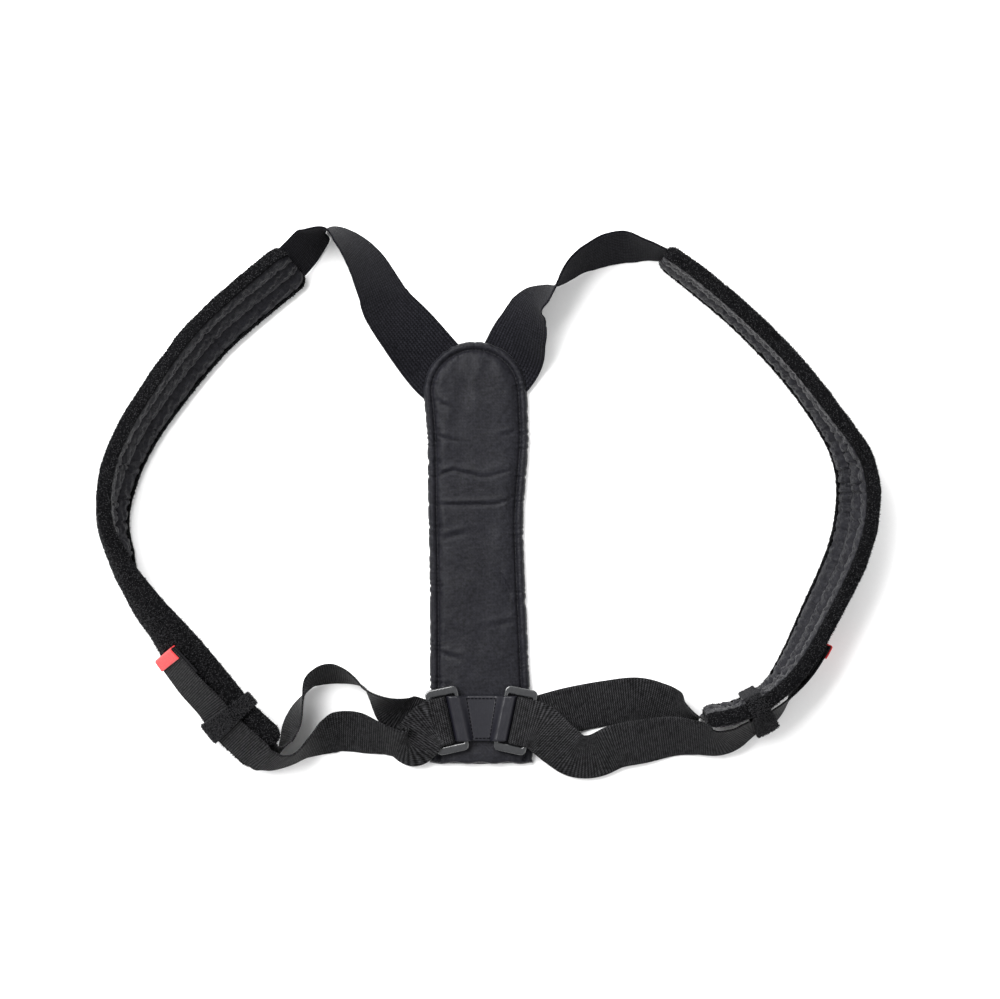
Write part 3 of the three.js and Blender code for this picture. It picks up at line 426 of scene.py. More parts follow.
def noiseOut(tree, vector, scale, detail):
    node = tree.nodes.new("ShaderNodeTexNoise")
    wire(tree, vector, node.inputs["Vector"])
    wire(tree, scale, node.inputs["Scale"])
    node.inputs["Detail"].default_value = detail
    node.inputs["Roughness"].default_value = 0.55
    return Signal(tree, node.outputs["Fac"])


def weaveGroup():
    # plain weave: warp and weft threads, rounded humps, take turns on top
    group, given, end = newGroup("plainWeave", [
        ("Vector", "v", None), ("Along", "f", 2000.0), ("Across", "f", 2000.0), ("Uneven", "f", 0.3),
    ], [("Height", "f")])
    x, y = splitVector(group, given["Vector"])
    wander = noiseOut(group, given["Vector"], 260.0, 2.0) * given["Uneven"]
    u, v = x * given["Along"] + wander, y * given["Across"] + wander
    over = (u.do("FLOOR") + v.do("FLOOR")).do("MODULO", 2.0).do("ABSOLUTE")
    wire(group, u.humps() * over + v.humps() * (over * -1.0 + 1.0), end["Height"])
    return group


def twillGroup():
    # webbing: crosswise ribs, a cosine along X, under fine diagonal threads, a sine along Y + slope X
    group, given, end = newGroup("twill", [
        ("Vector", "v", None), ("Ribs", "f", 625.0), ("Threads", "f", 520.0), ("Slope", "f", 1.0),
    ], [("Height", "f")])
    x, y = splitVector(group, given["Vector"])
    rib = (x * given["Ribs"] * math.tau).do("COSINE") * 0.5 + 0.5
    line = ((y + x * given["Slope"]) * given["Threads"] * math.tau).do("SINE") * 0.5 + 0.5
    rough = noiseOut(group, given["Vector"], 900.0, 3.0)
    wire(group, rib * 0.5 + line * 0.4 + rough * 0.25, end["Height"])
    return group


def knitGroup():
    # elastic: fine lengthwise cords with small loops crossing them
    group, given, end = newGroup("knit", [
        ("Vector", "v", None), ("Cords", "f", 900.0), ("Loops", "f", 1400.0),
    ], [("Height", "f")])
    x, y = splitVector(group, given["Vector"])
    cord = (y * given["Cords"]).humps()
    loop = (x * given["Loops"] + cord * 0.6).humps()
    wire(group, cord * 0.6 + loop * 0.5, end["Height"])
    return group


def wearAndShadeGroup():
    # broad tone changes, lint specks, painted shade and highlight from the pattern's relief, and a little
    # roughness change
    group, given, end = newGroup("wearAndShade", [
        ("Vector", "v", None), ("Broad", "f", 14.0), ("Fine", "f", 420.0), ("Base", "c", None),
        ("Worn", "c", None), ("Amount", "f", 0.5), ("Relief", "f", 0.5), ("Depth", "f", 0.5),
    ], [("Color", "c"), ("Roughness Shift", "f")])
    broad = noiseOut(group, given["Vector"], given["Broad"], 5.0)
    # grain: the fine noise stretched round its middle, so that it shows from above
    grain = (noiseOut(group, given["Vector"], given["Fine"], 3.0) - 0.5) * 3.2 + 0.5
    mix = group.nodes.new("ShaderNodeMix")
    mix.data_type = "RGBA"
    wire(group, (broad + grain) * given["Amount"], mix.inputs["Factor"])
    wire(group, given["Base"], mix.inputs[6])
    wire(group, given["Worn"], mix.inputs[7])
    # painted highlight and shade: the colour is lighter on the threads' crests and darker in the gaps between
    # them, as light falls on the relief
    paintedShade = (given["Relief"] - 0.5) * given["Depth"]
    shade = group.nodes.new("ShaderNodeVectorMath")
    shade.operation = "SCALE"
    wire(group, mix.outputs[2], shade.inputs[0])
    wire(group, (paintedShade * 2.0 + 1.0).do("MAXIMUM", 0.05), shade.inputs["Scale"])
    wire(group, shade.outputs[0], end["Color"])
    wire(group, (broad - 0.5) * 0.25, end["Roughness Shift"])
    return group


groups = {"weave": weaveGroup(), "twill": twillGroup(), "knit": knitGroup(), "wearAndShade": wearAndShadeGroup()}


def addGroup(tree, kind, vector, values):
    node = tree.nodes.new("ShaderNodeGroup")
    node.node_tree = groups[kind]
    for label, value in {"Vector": vector, **values}.items():
        wire(tree, value, node.inputs[label])
    return node


def material(name, base, worn, roughness, pattern=None, coords="UV", bump=0.00006, strength=0.6, amount=0.5,
             broad=14.0, fine=420.0, depth=0.5, settings=None, shader=None):
    # the pattern gives relief, and through the wear and shade group painted shade in its gaps and painted
    # highlight on its crests; that group also gives colour and a change of roughness
    mat = bpy.data.materials.new(name)
    mat.use_nodes = True
    tree = mat.node_tree
    principled = tree.nodes["Principled BSDF"]
    coord = tree.nodes.new("ShaderNodeTexCoord")
    if pattern:
        height = addGroup(tree, pattern, coord.outputs[coords], settings or {}).outputs["Height"]
    else:
        height = noiseOut(tree, coord.outputs["Object"], 1500.0, 4.0)
    wearAndShade = addGroup(tree, "wearAndShade", coord.outputs["Object"], {
        "Broad": broad, "Fine": fine, "Base": (*base, 1), "Worn": (*worn, 1), "Amount": amount,
        "Relief": height, "Depth": depth})
    wire(tree, wearAndShade.outputs["Color"], principled.inputs["Base Color"])
    wire(tree, Signal(tree, wearAndShade.outputs["Roughness Shift"]) + roughness, principled.inputs["Roughness"])
    bumpNode = tree.nodes.new("ShaderNodeBump")
    wire(tree, bump, bumpNode.inputs["Distance"])
    wire(tree, strength, bumpNode.inputs["Strength"])
    wire(tree, height, bumpNode.inputs["Height"])
    wire(tree, bumpNode.outputs["Normal"], principled.inputs["Normal"])
    for label, value in (shader or {}).items():
        principled.inputs[label].default_value = value
    return mat


# depth: how strongly each material's pattern is painted into its colour, as shade in the gaps and highlight
# on the crests
satinLook = {"bump": 0.00014, "strength": 0.8, "depth": 0.55, "amount": 0.6, "fine": 480.0, "broad": 22.0,
             "settings": {"Along": 840.0, "Across": 840.0, "Uneven": 0.9},
             "shader": {"Sheen Weight": 0.05, "Sheen Roughness": 0.35, "Specular IOR Level": 0.11}}
satin = material("satinCloth", (0.0006, 0.0006, 0.0012), (0.0092, 0.0092, 0.012), 0.46, "weave", **satinLook)
satinPanel = material("satinPanel", (0.0006, 0.0006, 0.0012), (0.0095, 0.0095, 0.0125), 0.44, "weave",
                      coords="Object", **satinLook)
pile = material("velour", (0.0003, 0.0003, 0.0004), (0.0065, 0.0065, 0.0072), 0.95, coords="Object",
                bump=0.0012, shader={"Specular IOR Level": 0.02})
pileHair = material("velourHair", (0.001, 0.001, 0.0012), (0.026, 0.026, 0.029), 0.7, coords="Object",
                    bump=0.00002, amount=0.6, fine=800.0,
                    shader={"Sheen Weight": 0.05, "Specular IOR Level": 0.12})
elasticCloth = material("elasticKnit", (0.0003, 0.0003, 0.0006), (0.0068, 0.0068, 0.0084), 0.8, "knit",
                        bump=0.0004, strength=1.0, depth=1.7, fine=600.0,
                        settings={"Cords": 400.0, "Loops": 480.0},
                        shader={"Sheen Weight": 0.03, "Sheen Roughness": 0.5, "Specular IOR Level": 0.02})
webCloth = material("webbingWeave", (0.0006, 0.0006, 0.0007), (0.0175, 0.0175, 0.0184), 0.56, "twill",
                    bump=0.0003, strength=1.0, depth=1.9, settings={"Ribs": 1000 / webbing["pitch"]},
                    shader={"Sheen Weight": 0.02, "Sheen Roughness": 0.4, "Specular IOR Level": 0.025})
hookTape = material("hookTape", (0.003, 0.003, 0.0035), (0.01, 0.01, 0.011), 0.8, coords="Object",
                    bump=0.0008, fine=900.0, shader={"Specular IOR Level": 0.1})
tabCloth = material("tabTape", (0.4, 0.007, 0.01), (0.5, 0.018, 0.02), 0.6, "weave", bump=0.00012, depth=0.15,
                    settings={"Along": 700.0, "Across": 700.0}, shader={"Sheen Weight": 0.05})
bandCloth = material("coatedBand", (0.004, 0.004, 0.0065), (0.008, 0.008, 0.0115), 0.34, "weave",
                     bump=0.00004, amount=0.4, depth=0.2, settings={"Along": 600.0, "Across": 600.0},
                     shader={"Specular IOR Level": 0.26, "Coat Weight": 0.05, "Coat Roughness": 0.25})
ringPlastic = material("ringPlastic", (0.008, 0.0085, 0.0095), (0.02, 0.021, 0.023), 0.2, coords="Object",
                       bump=0.00003, strength=0.3, amount=0.4,
                       shader={"Coat Weight": 0.5, "Coat Roughness": 0.1})
thread = material("thread", (0.006, 0.006, 0.0068), (0.026, 0.026, 0.029), 0.6, coords="Object", bump=0.00005,
                  fine=2500.0, shader={"Sheen Weight": 0.05, "Specular IOR Level": 0.15})
bandThread = material("bandThread", (0.0006, 0.0006, 0.001), (0.0025, 0.0025, 0.0042), 0.7, coords="Object",
                      bump=0.00005, fine=2500.0, shader={"Specular IOR Level": 0.05})
floorPaint = material("paleFloor", (0.9, 0.9, 0.9), (0.93, 0.93, 0.93), 0.7, coords="Object", bump=0.00002,
                      strength=0.1, depth=0.02)
print("materials ready", flush=True)

# Where the straps and pads run


def ringFrame(side):
    turn = math.radians(ring["turn"])
    inward = np.array([math.cos(turn), math.sin(turn), 0])
    inner = np.array([band["shift"] * sides[side]["mirror"] - band["length"] / 2 + band["loop"],
                      band["rise"] + ring["slide"], strandLevel])
    return {"inward": inward, "along": np.array([-inward[1], inward[0], 0]),
            "outer": inner - inward * ringPitch}


for name, info in sides.items():
    info["ring"] = ringFrame(name)
    turn, rise = math.radians(info["strapTurn"]), math.radians(info["padTurn"])
    strapWay = np.array([-math.cos(turn), -math.sin(turn), 0])
    info["lower"] = info["ring"]["outer"] + strapWay * webbing["span"] * info["reach"]
    padWay = np.array([math.sin(rise), math.cos(rise), 0])
    info["upper"] = info["lower"] + padWay * pad["length"] * info["bow"]
    info["even"] = evenShare(padRows[name], info["upper"], info["lower"])

# the pile facing's section, five shares a row: place = half width * a + rim * b + outer height * c,
# height = outer height * d + inner height * e
facingTemplate = np.array([
    (-1, 1, 0, 0, 0), (-0.5, 0.5, 0, 0, 0), (0, 0, 0, 0, 0), (0.5, -0.5, 0, 0, 0), (1, -1, 0, 0, 0),
    (1, -1, 0, 0, 1), (1, 0, 0, 0, 0.8), (1, 0, 0, 0.45, 0), (1, 0, -0.2, 0.85, 0), (1, 0, -0.6, 1, 0),
    (0.5, 0, 0, 1, 0), (0, 0, 0, 1, 0), (-0.5, 0, 0, 1, 0),
    (-1, 0, 0.6, 1, 0), (-1, 0, 0.2, 0.85, 0), (-1, 0, 0, 0.45, 0), (-1, 0, 0, 0, 0.8), (-1, 1, 0, 0, 1)])


def closedSmooth(table, places):
    # Catmull-Rom round a closed table at places counted in rows
    count = len(table)
    index = np.floor(places).astype(int)
    f = (places - index)[:, None]
    a, b, c, d = (table[(index + step) % count] for step in (-1, 0, 1, 2))
    return cubic(a, b, c, d, f)


def bent(place, height, cup, width):
    # place along the bent middle line and height over it, to flat coordinates of the section:
    # x = (radius + height) * sine of the turn, y = (radius + height) * cosine of the turn - radius
    radius = width / np.radians(cup)
    turn = place / radius
    return (radius + height) * np.sin(turn), (radius + height) * np.cos(turn) - radius


def sectionOf(template, cup, width, thin):
    half, outer, inner = width / 2, pad["facing"] * thin, -pad["lining"] * thin
    place = half * template[:, 0] + pad["rim"] * template[:, 1] + outer * template[:, 2]
    return bent(place, outer * template[:, 3] + inner * template[:, 4], cup, width)


def endShare(distance, radius, whole):
    # the share of the whole left near an end that is rounded with the radius
    inset = radius - np.sqrt(np.maximum(radius ** 2 - np.maximum(radius - distance, 0) ** 2, 0))
    return 1 - inset / whole


def padFrames(side, distance):
    # frames of the shoulder pad at distances from its upper end
    info = sides[side]
    distance = np.atleast_1d(np.asarray(distance, float))
    share = info["even"](distance / pad["length"])
    row = smoothRows(padRows[side], share)
    before, point, after = (routeXY(smoothRows(padRows[side], share + step), info["upper"], info["lower"])
                            for step in (-0.004, 0, 0.004))
    ahead = unit(after - before)
    width = across(ahead, row[:, 2])
    out = np.cross(ahead, width)
    level = np.column_stack([-ahead[:, 1], ahead[:, 0], np.zeros(len(ahead))])
    cup = row[:, 3:4]
    x, y = sectionOf(facingTemplate, cup, pad["width"], 1.0)
    sideways = x * np.sum(width * level, 1, keepdims=True) + y * np.sum(out * level, 1, keepdims=True)
    height = x * width[:, 2:] + y * out[:, 2:]
    # centred on the route as seen from above, and resting on the floor or on the keeper's underside
    point -= level * ((sideways.min(1) + sideways.max(1)) / 2)[:, None]
    away = np.abs(pad["length"] - keeper["setback"] - distance)
    near = 1 - smoothStep(away, keeper["length"] * 0.7, keeper["length"] * 5)
    point[:, 2] = near * (keeper["thick"] + 5 * play["gap"]) - height.min(1)
    toEnd = np.clip(np.minimum(distance, pad["length"] - distance), 0, None)
    return {"point": point, "ahead": ahead, "across": width, "out": out, "cup": cup,
            "width": (pad["width"] * endShare(toEnd, pad["corner"], pad["width"] / 2))[:, None],
            "thin": endShare(toEnd, pad["facing"], pad["facing"] * 2)[:, None]}


def onFrames(frames, x, y):
    # section coordinates laid on frames
    sideways = x[..., None] * frames["across"][:, None]
    return frames["point"][:, None] + sideways + y[..., None] * frames["out"][:, None]


def freePath(rows, start, end, width, count, hand=1.0):
    # a strap that stands on its low edge between two ends
    row = smoothRows(rows, np.linspace(0, 1, count))
    point = routeXY(row, start, end)
    standing = play["floor"] + np.abs(np.sin(np.radians(row[:, 2]))) * width / 2
    carried = standing * (1 - row[:, 3] - row[:, 4]) + start[2] * row[:, 3] + end[2] * row[:, 4]
    point[:, 2] = np.maximum(standing, carried)
    ahead = unit(np.gradient(point, axis=0))
    return point, across(ahead, row[:, 2], hand)


def evenly(point, width, step, blur):
    # the same path at an even step, with its corners eased over a short length
    length = lengthsOf(point)
    spots = np.linspace(0, length[-1], int(length[-1] / step) + 1)
    both = between(np.hstack([point, width]), length, spots)
    reach = max(int(blur / step), 1)
    kernel = np.exp(-np.linspace(-2, 2, 2 * reach + 1) ** 2)
    kernel /= kernel.sum()
    longer = np.vstack([2 * both[:1] - both[reach:0:-1], both, 2 * both[-1:] - both[-2:-reach - 2:-1]])
    both = np.column_stack([np.convolve(column, kernel, "valid") for column in longer.T])
    ahead = unit(np.gradient(both[:, :3], axis=0))
    width = both[:, 3:]
    width = unit(width - ahead * np.sum(width * ahead, 1, keepdims=True))
    return {"point": both[:, :3], "ahead": ahead, "across": width, "out": np.cross(ahead, width), "at": spots}


def strapLoop(width, thick, count):
    # section of a strap: flat faces and round edges, count points on each face
    half = width / 2
    x = half * np.sin(np.linspace(-1, 1, count) * math.pi / 2)
    x = 0.75 * x + 0.25 * np.linspace(-half, half, count)
    edge = np.clip((np.abs(x) - half + thick / 2) / (thick / 2), 0, 1)
    depth = thick / 2 * np.sqrt(np.clip(1 - edge ** 2, 0, 1))
    return np.concatenate([x, x[-2:0:-1]]), np.concatenate([depth, -depth[-2:0:-1]])


def layHeight(setback):
    # height of the webbing's middle over the pad: under the keeper low, over the hook patch higher
    low = play["lay"] + webbing["thick"] / 2
    high = low + play["lay"] + hook["thick"]
    start = keeper["setback"] + keeper["length"] / 2 + play["gap"] * 4
    return low + (high - low) * smoothStep(setback, start, hook["reach"] - hook["length"] - play["gap"] * 4)


def layLean(side, setback):
    free = smoothStep(setback, keeper["setback"], hook["reach"] - hook["length"])
    return sides[side]["standOff"] * (1 - free)


def overPad(side, setback, height):
    frames = padFrames(side, pad["length"] - setback)
    return frames["point"] + frames["out"] * (pad["facing"] + np.reshape(height, (-1, 1))), frames


pathSteps = {"free": 400, "lay": 120, "fold": 40, "blur": 2.0}


def webbingPath(side):
    # from the pad's end under the ring's outer bar, round it, back over it and onto the pad
    info = sides[side]
    way = info["ring"]
    lastFrame = padFrames(side, pad["length"])
    start = lastFrame["point"][0] + lastFrame["ahead"][0] * play["gap"] \
        + lastFrame["across"][0] * info["seat"] * (webbing["width"] - pad["width"]) / 2
    under, over = way["outer"].copy(), way["outer"].copy()
    under[2] = strandLevel - strapFold
    over[2] = strandLevel + strapFold
    setback = np.linspace(keeper["setback"] * info["leave"], hook["reach"], pathSteps["lay"])
    lean = np.radians(layLean(side, setback))[:, None]
    spot, frames = overPad(side, setback, layHeight(setback) + np.sin(lean[:, 0]) * webbing["width"] / 2)
    out = np.cross(frames["across"], -frames["ahead"])
    layWidth = frames["across"] * np.cos(lean) - out * np.sin(lean)
    first, firstWidth = freePath(underRows[side], start, under, webbing["width"], pathSteps["free"])
    firstWidth[:4] = lastFrame["across"]
    home, homeWidth = freePath(overRows[side], over, spot[0], webbing["width"],
                               pathSteps["free"], -1.0)
    reach = ringPitch - band["loop"] - play["gap"] * 2 - strapFold - webbing["thick"] / 2
    turn = np.linspace(0, math.pi, pathSteps["fold"])[:, None]
    fold = way["outer"] + way["inward"] * (reach + strapFold * np.sin(turn)) \
        - upright * strapFold * np.cos(turn)
    points = np.vstack([first[:-2], fold, home[2:-1], spot])
    foldWidth = np.tile(way["along"], (len(fold), 1))
    widths = np.vstack([firstWidth[:-2], foldWidth, homeWidth[2:-1], layWidth])
    return evenly(points, widths, webbing["pitch"] / 4, pathSteps["blur"])


def strapGrid(frames, loopX, loopY, puff=None):
    # the section carried along the frames, thickness changed by puff, closed by two flat ends
    depth = np.tile(loopY, (len(frames["point"]), 1))
    if puff is not None:
        depth = depth + np.sign(loopY) * puff
    grid = onFrames(frames, np.tile(loopX, (len(depth), 1)), depth)
    mid = onFrames(frames, np.tile(loopX, (len(depth), 1)), depth * 0)
    return np.concatenate([mid[:1], grid, mid[-1:]])


# Webbing

webLook = {"round": 18, "uneven": 0.06, "patch": 26.0}
for number, side in enumerate(sides):
    path = webbingPath(side)
    loopX, loopY = strapLoop(webbing["width"], webbing["thick"], webLook["round"])
    s = path["at"][:, None]
    inside = smoothStep(webbing["width"] / 2 - np.abs(loopX), 0.5, 1.8)[None]
    # ribs: a cosine along the strap, faded at the woven edges, with a slow unevenness
    ribs = webbing["rib"] * (np.cos(s / webbing["pitch"] * math.tau) * 0.5) * inside
    slow = noise(s, loopX[None], webLook["patch"], 3 + number)
    grid = strapGrid(path, loopX, loopY, ribs * (1 + 0.3 * slow) + webLook["uneven"] * slow * inside)
    runs = np.concatenate([path["at"][:1], path["at"], path["at"][-1:]])
    addGrid("webbing_" + side + "_look", intoRow(grid, side), webCloth, "webbing_" + side,
            runs=runs)
print("webbing ready", flush=True)

# Elastic straps: from under the back pad's rim to the shoulder pads

elasticLook = {"points": 700, "step": 0.7, "round": 30, "cockle": 0.16, "edge": 0.18, "cord": 0.05,
               "pitch": 1.7, "height": 0.38}
archFoot, archHalf = back["length"] * back["foot"], back["width"] / 2
archCentre = back["lean"] * back["width"] / 2
for number, side in enumerate(sides):
    centre = np.array([archCentre * sides[side]["mirror"], archFoot, back["thick"] * elasticLook["height"]])
    first = padFrames(side, 0)
    end = first["point"][0] + first["ahead"][0] * 2.0
    point, width = freePath(elasticRows[side], centre, end, elastic["width"], elasticLook["points"])
    path = evenly(point, width, elasticLook["step"], pathSteps["blur"])
    # the first stretch, deep inside the back pad, is left out
    away = np.hypot(path["point"][:, 0] - centre[0], path["point"][:, 1] - centre[1])
    path = {key: value[away > archHalf - 16] for key, value in path.items()}
    loopX, loopY = strapLoop(elastic["width"], elastic["thick"], elasticLook["round"])
    s = path["at"][:, None]
    # woven edges a little thicker, faces slightly cockled along the strap
    cockle = elasticLook["cockle"] * noise(s, loopX[None] * 0.5, 18.0, 7 + number) * (1 - np.exp(-s / 20))
    edge = np.exp(-((elastic["width"] / 2 - 1.6 - np.abs(loopX)) / 1.1) ** 2)
    cords = np.cos(loopX / elasticLook["pitch"] * math.tau)
    grid = strapGrid(path, loopX, loopY, (elasticLook["edge"] * edge + elasticLook["cord"] * cords)[None])
    grid[1:-1] += path["out"][:, None] * cockle[..., None]
    addGrid("elastic_" + side + "_look", intoRow(grid, side), elasticCloth,
            "elastic_strap_" + side)
print("elastic ready", flush=True)

# Shoulder pads: pile facing, quilted lining, hairs and seams

facingLook = {"along": 520, "hairs": 20000, "lump": 0.5, "lumpSize": 34.0, "grain": 0.3, "grainSize": 2.6,
              "gather": 0.3, "gatherPitch": 8.5, "wander": 2.2, "creaseEnd": 25}
# lengthwise creases: from, to, place across, width, depth
creases = {
    "left": [(232, 345, 2.0, 2.2, 1.5), (250, 330, -13.0, 2.5, 0.9)],
    "right": [(240, 330, -14.0, 2.6, 1.1), (385, 470, 3.0, 3.0, 0.8)],
}
# part of the section's loop given to the hidden floor, an edge, the outer face and the other edge
loopShares = [(0, 4, 10), (4, 9.5, 22), (9.5, 12.5, 28), (12.5, 18, 24)]
facingPlaces = np.concatenate([np.linspace(a, b, n, endpoint=False) for a, b, n in loopShares])
facingSmooth = closedSmooth(facingTemplate, facingPlaces)


def padStations(count, rounded):
    # denser near the two rounded ends
    ends = pad["corner"] * (1 - np.cos(np.linspace(0, math.pi / 2, rounded)))
    middle = np.linspace(pad["corner"], pad["length"] - pad["corner"], count - 2 * rounded)
    return np.concatenate([ends[:-1], middle, (pad["length"] - ends[::-1])[1:]])


for number, side in enumerate(sides):
    seed = 20 + 20 * number
    distance = padStations(facingLook["along"], 16)
    frames = padFrames(side, distance)
    t = facingSmooth
    half, outer, inner = frames["width"] / 2, pad["facing"] * frames["thin"], -pad["lining"] * frames["thin"]
    where = half * t[:, 0] + pad["rim"] * t[:, 1] + outer * t[:, 2]
    height = outer * t[:, 3] + inner * t[:, 4]
    s = distance[:, None]
    facingOut = smoothStep(t[:, 3] + 0 * s, 0.2, 0.9)
    rimIn = smoothStep(t[:, 4] + 0 * s, 0.3, 0.8)
    # height = section + lumps and grain on the outer face - gathers at the rim - lengthwise creases
    lumps = facingLook["lump"] * noise(s, where, facingLook["lumpSize"], seed)
    lumps = lumps + facingLook["grain"] * noise(s, where, facingLook["grainSize"], seed + 9)
    folds = np.cos(s / facingLook["gatherPitch"] * math.tau + 2 * noise(s, 0 * s, 60, seed + 1))
    height = height + lumps * facingOut - rimIn * (facingLook["gather"] * (0.5 + 0.5 * folds))
    fade = facingLook["creaseEnd"]
    for low, high, at, wide, deep in creases[side]:
        span = smoothStep(s, low, low + fade) * (1 - smoothStep(s, high - fade, high))
        wander = at + facingLook["wander"] * noise(s, 0 * s, 55.0, seed + 2)
        height = height - deep * span * facingOut * np.exp(-((where - wander) / wide) ** 2)
    x, y = bent(where, height, frames["cup"], frames["width"])
    grid = onFrames(frames, x, y)
    # ends: the last row flattened and drawn in by half, then its middle
    middle = grid.mean(1, keepdims=True) + 0 * grid
    drawnIn = 0.5 * onFrames(frames, x, y * 0 + y.mean(1, keepdims=True)) + 0.5 * middle
    grid = intoRow(np.concatenate([middle[:1], drawnIn[:1], grid, drawnIn[-1:], middle[-1:]]), side)
    facing = addGrid("facing_" + side + "_look", grid, pile, "shoulder_facing_" + side)
    outside = (facingPlaces[None] >= 5.6) & (facingPlaces[None] <= 17.6)
    keep = np.broadcast_to(outside, grid.shape[:2])[:-1, :-1].astype(float)
    if sides[side]["mirror"] > 0:
        grid, keep = grid[:, ::-1], keep[:, ::-1]
    addPile("pile_" + side, grid, keep, facingLook["hairs"], seed + 5)
print("pad facings ready", flush=True)

liningLook = {"along": 620, "top": 8, "across": 54, "pucker": 11.5, "crest": 1.5, "valley": 2.0,
              "shallow": 0.7, "pleat": 0.8, "crumple": 0.9, "inset": 0.15, "seam": 3.2}
for number, side in enumerate(sides):
    seed = 60 + 20 * number
    distance = padStations(liningLook["along"], 14)
    distance = 0.6 + distance * (1 - 1.2 / pad["length"])
    frames = padFrames(side, distance)
    half = frames["width"] / 2 - pad["rim"] - liningLook["inset"]
    s = distance[:, None]
    c = np.linspace(0, 3, liningLook["across"])[None]
    # height = valley + arch up to the crest - puckers across it + crumples; three arches, one a channel
    arch = np.abs(np.sin(math.pi * c)) ** 0.5
    crest, valley = -(pad["lining"] + liningLook["crest"]), -(pad["lining"] - liningLook["valley"])
    # deeper pleats where the pad turns
    heading = np.arctan2(frames["ahead"][:, 1], frames["ahead"][:, 0])
    pleat = smoothStep(np.abs(np.gradient(heading, distance))[:, None], 0.004, 0.011)
    # rounded cushions with narrow pinches between them, out of step from channel to channel
    phase = 6.0 * noise(s, np.floor(c) * 40 + 0 * s, 45.0, seed) + np.floor(c) * 2.1
    pucker = 1 - 2 * (0.5 - 0.5 * np.cos(s / liningLook["pucker"] * math.tau + phase)) ** 3
    depth = liningLook["shallow"] + liningLook["pleat"] * pleat
    height = valley + (crest - valley) * arch
    height = height - depth * pucker * (1 - 0.2 * arch) * smoothStep(arch, 0.0, 0.35)
    height = height + liningLook["crumple"] * noise(s, c * 14.0, 9.0, seed + 1) * arch
    where = half * (c / 1.5 - 1) + 0.6 * pucker * np.sin(2 * math.pi * c)
    topWhere = half * np.linspace(1, -1, liningLook["top"])[None] * 0.98
    where = np.concatenate([where, topWhere], 1)
    height = np.concatenate([height * frames["thin"], 0 * topWhere - 0.4], 1)
    x, y = bent(where, height, frames["cup"], frames["width"])
    grid = intoRow(closedEnds(onFrames(frames, x, y)), side)
    lining = addGrid("lining_" + side + "_look", grid, satin, "shoulder_lining_" + side)
    seams = []
    for column in (liningLook["across"] // 3, 2 * liningLook["across"] // 3):
        line = grid[3:-3, column]
        onward, beside = grid[4:-2, column] - line, grid[3:-3, column + 1] - line
        down = unit(np.cross(onward, beside)) * sides[side]["mirror"]
        seams.append(stitchRow(line, down, liningLook["seam"], (2.3, 0.45, 0.45)))
    addStitches("lining_seams_" + side, seams, thread)
print("pad linings ready", flush=True)

# Back pad: cover drawn from the edge to the pad's middle line

# outline: height as a share of the length, half widths at the left and right
outlineRows = [
    (0.00, 0.94, 1.05), (0.17, 0.95, 0.99), (0.33, 0.95, 0.93), (0.47, 0.96, 0.88), (0.58, 0.98, 0.86),
    (0.66, 0.99, 0.90), (0.76, 1.00, 0.96), (0.83, 1.04, 0.95), (0.88, 1.08, 0.93)]
# edge profile: inset from the edge and height, millimetres; the roll, its stitched groove, then the panel
edgeProfile = [
    (3.1, 0.0), (1.2, 0.35), (0.25, 2.2), (0.0, 4.4), (0.45, 6.6), (1.8, 8.5), (3.6, 9.1), (5.2, 8.7),
    (6.3, 7.5), (7.0, 6.7), (7.7, 7.5), (8.9, 8.9), (11.5, 9.9), (16.0, 10.6), (24.0, 11.0), (40.0, 11.0)]
# creases of the panel: from x, y to x, y in the back pad's own drawing, width, depth
backCreases = [
    (-33, 231, -20, 235, 1.6, 0.9), (-20, 235, 4, 229, 1.8, 0.7), (4, 229, 30, 236, 2.0, 0.7),
    (-32, 207, 18, 208, 1.7, 0.7), (15, 155, 26, 135, 1.8, 0.8), (-34, 262, -18, 258, 1.8, 0.5),
    (18, 262, 37, 268, 2.0, 0.5), (-30, 180, -8, 186, 2.2, 0.5), (8, 110, 34, 116, 2.2, 0.45),
    (-34, 90, -14, 84, 2.2, 0.45), (-36, 292, -22, 284, 2.0, 0.4), (12, 208, 34, 214, 1.8, 0.5),
    (-25, 12, 6, 16, 3.0, 0.4), (14, 14, 38, 9, 3.0, 0.5)]


def backOutline(count):
    # points along the edge from the lower left, over the arch, to the lower right, at an even step
    rows = smoothRows(outlineRows, np.linspace(0, 1, 160))
    left = np.column_stack([-rows[:, 1] * archHalf, rows[:, 0] * back["length"]])
    right = np.column_stack([rows[:, 2] * archHalf, rows[:, 0] * back["length"]])[::-1]
    turn = np.linspace(math.pi, 0, 120)[1:-1]
    arch = np.column_stack([archCentre + archHalf * np.cos(turn),
                            archFoot + (back["length"] - archFoot) * np.sin(turn)])
    points = np.vstack([left, arch, right])
    length = lengthsOf(points)
    spots = np.linspace(0, length[-1], count)
    flat = between(points, length, spots)
    kernel = np.hanning(9) / np.hanning(9).sum()
    inner = np.column_stack([np.convolve(column, kernel, "same") for column in flat.T])
    flat[8:-8] = inner[8:-8]
    return flat, spots


backLook = {"around": 860, "rows": 58, "hem": 2.6, "pucker": 9.0, "puckerDeep": 0.95, "swell": 0.8,
            "swellSize": 60.0, "ripple": 0.28, "rippleSize": 18.0, "grain": 0.12, "crease": 2.0,
            "wave": 1.6, "wavePitch": 21, "low": 0.02, "stitch": 3.3}
edge, edgeAt = backOutline(backLook["around"])
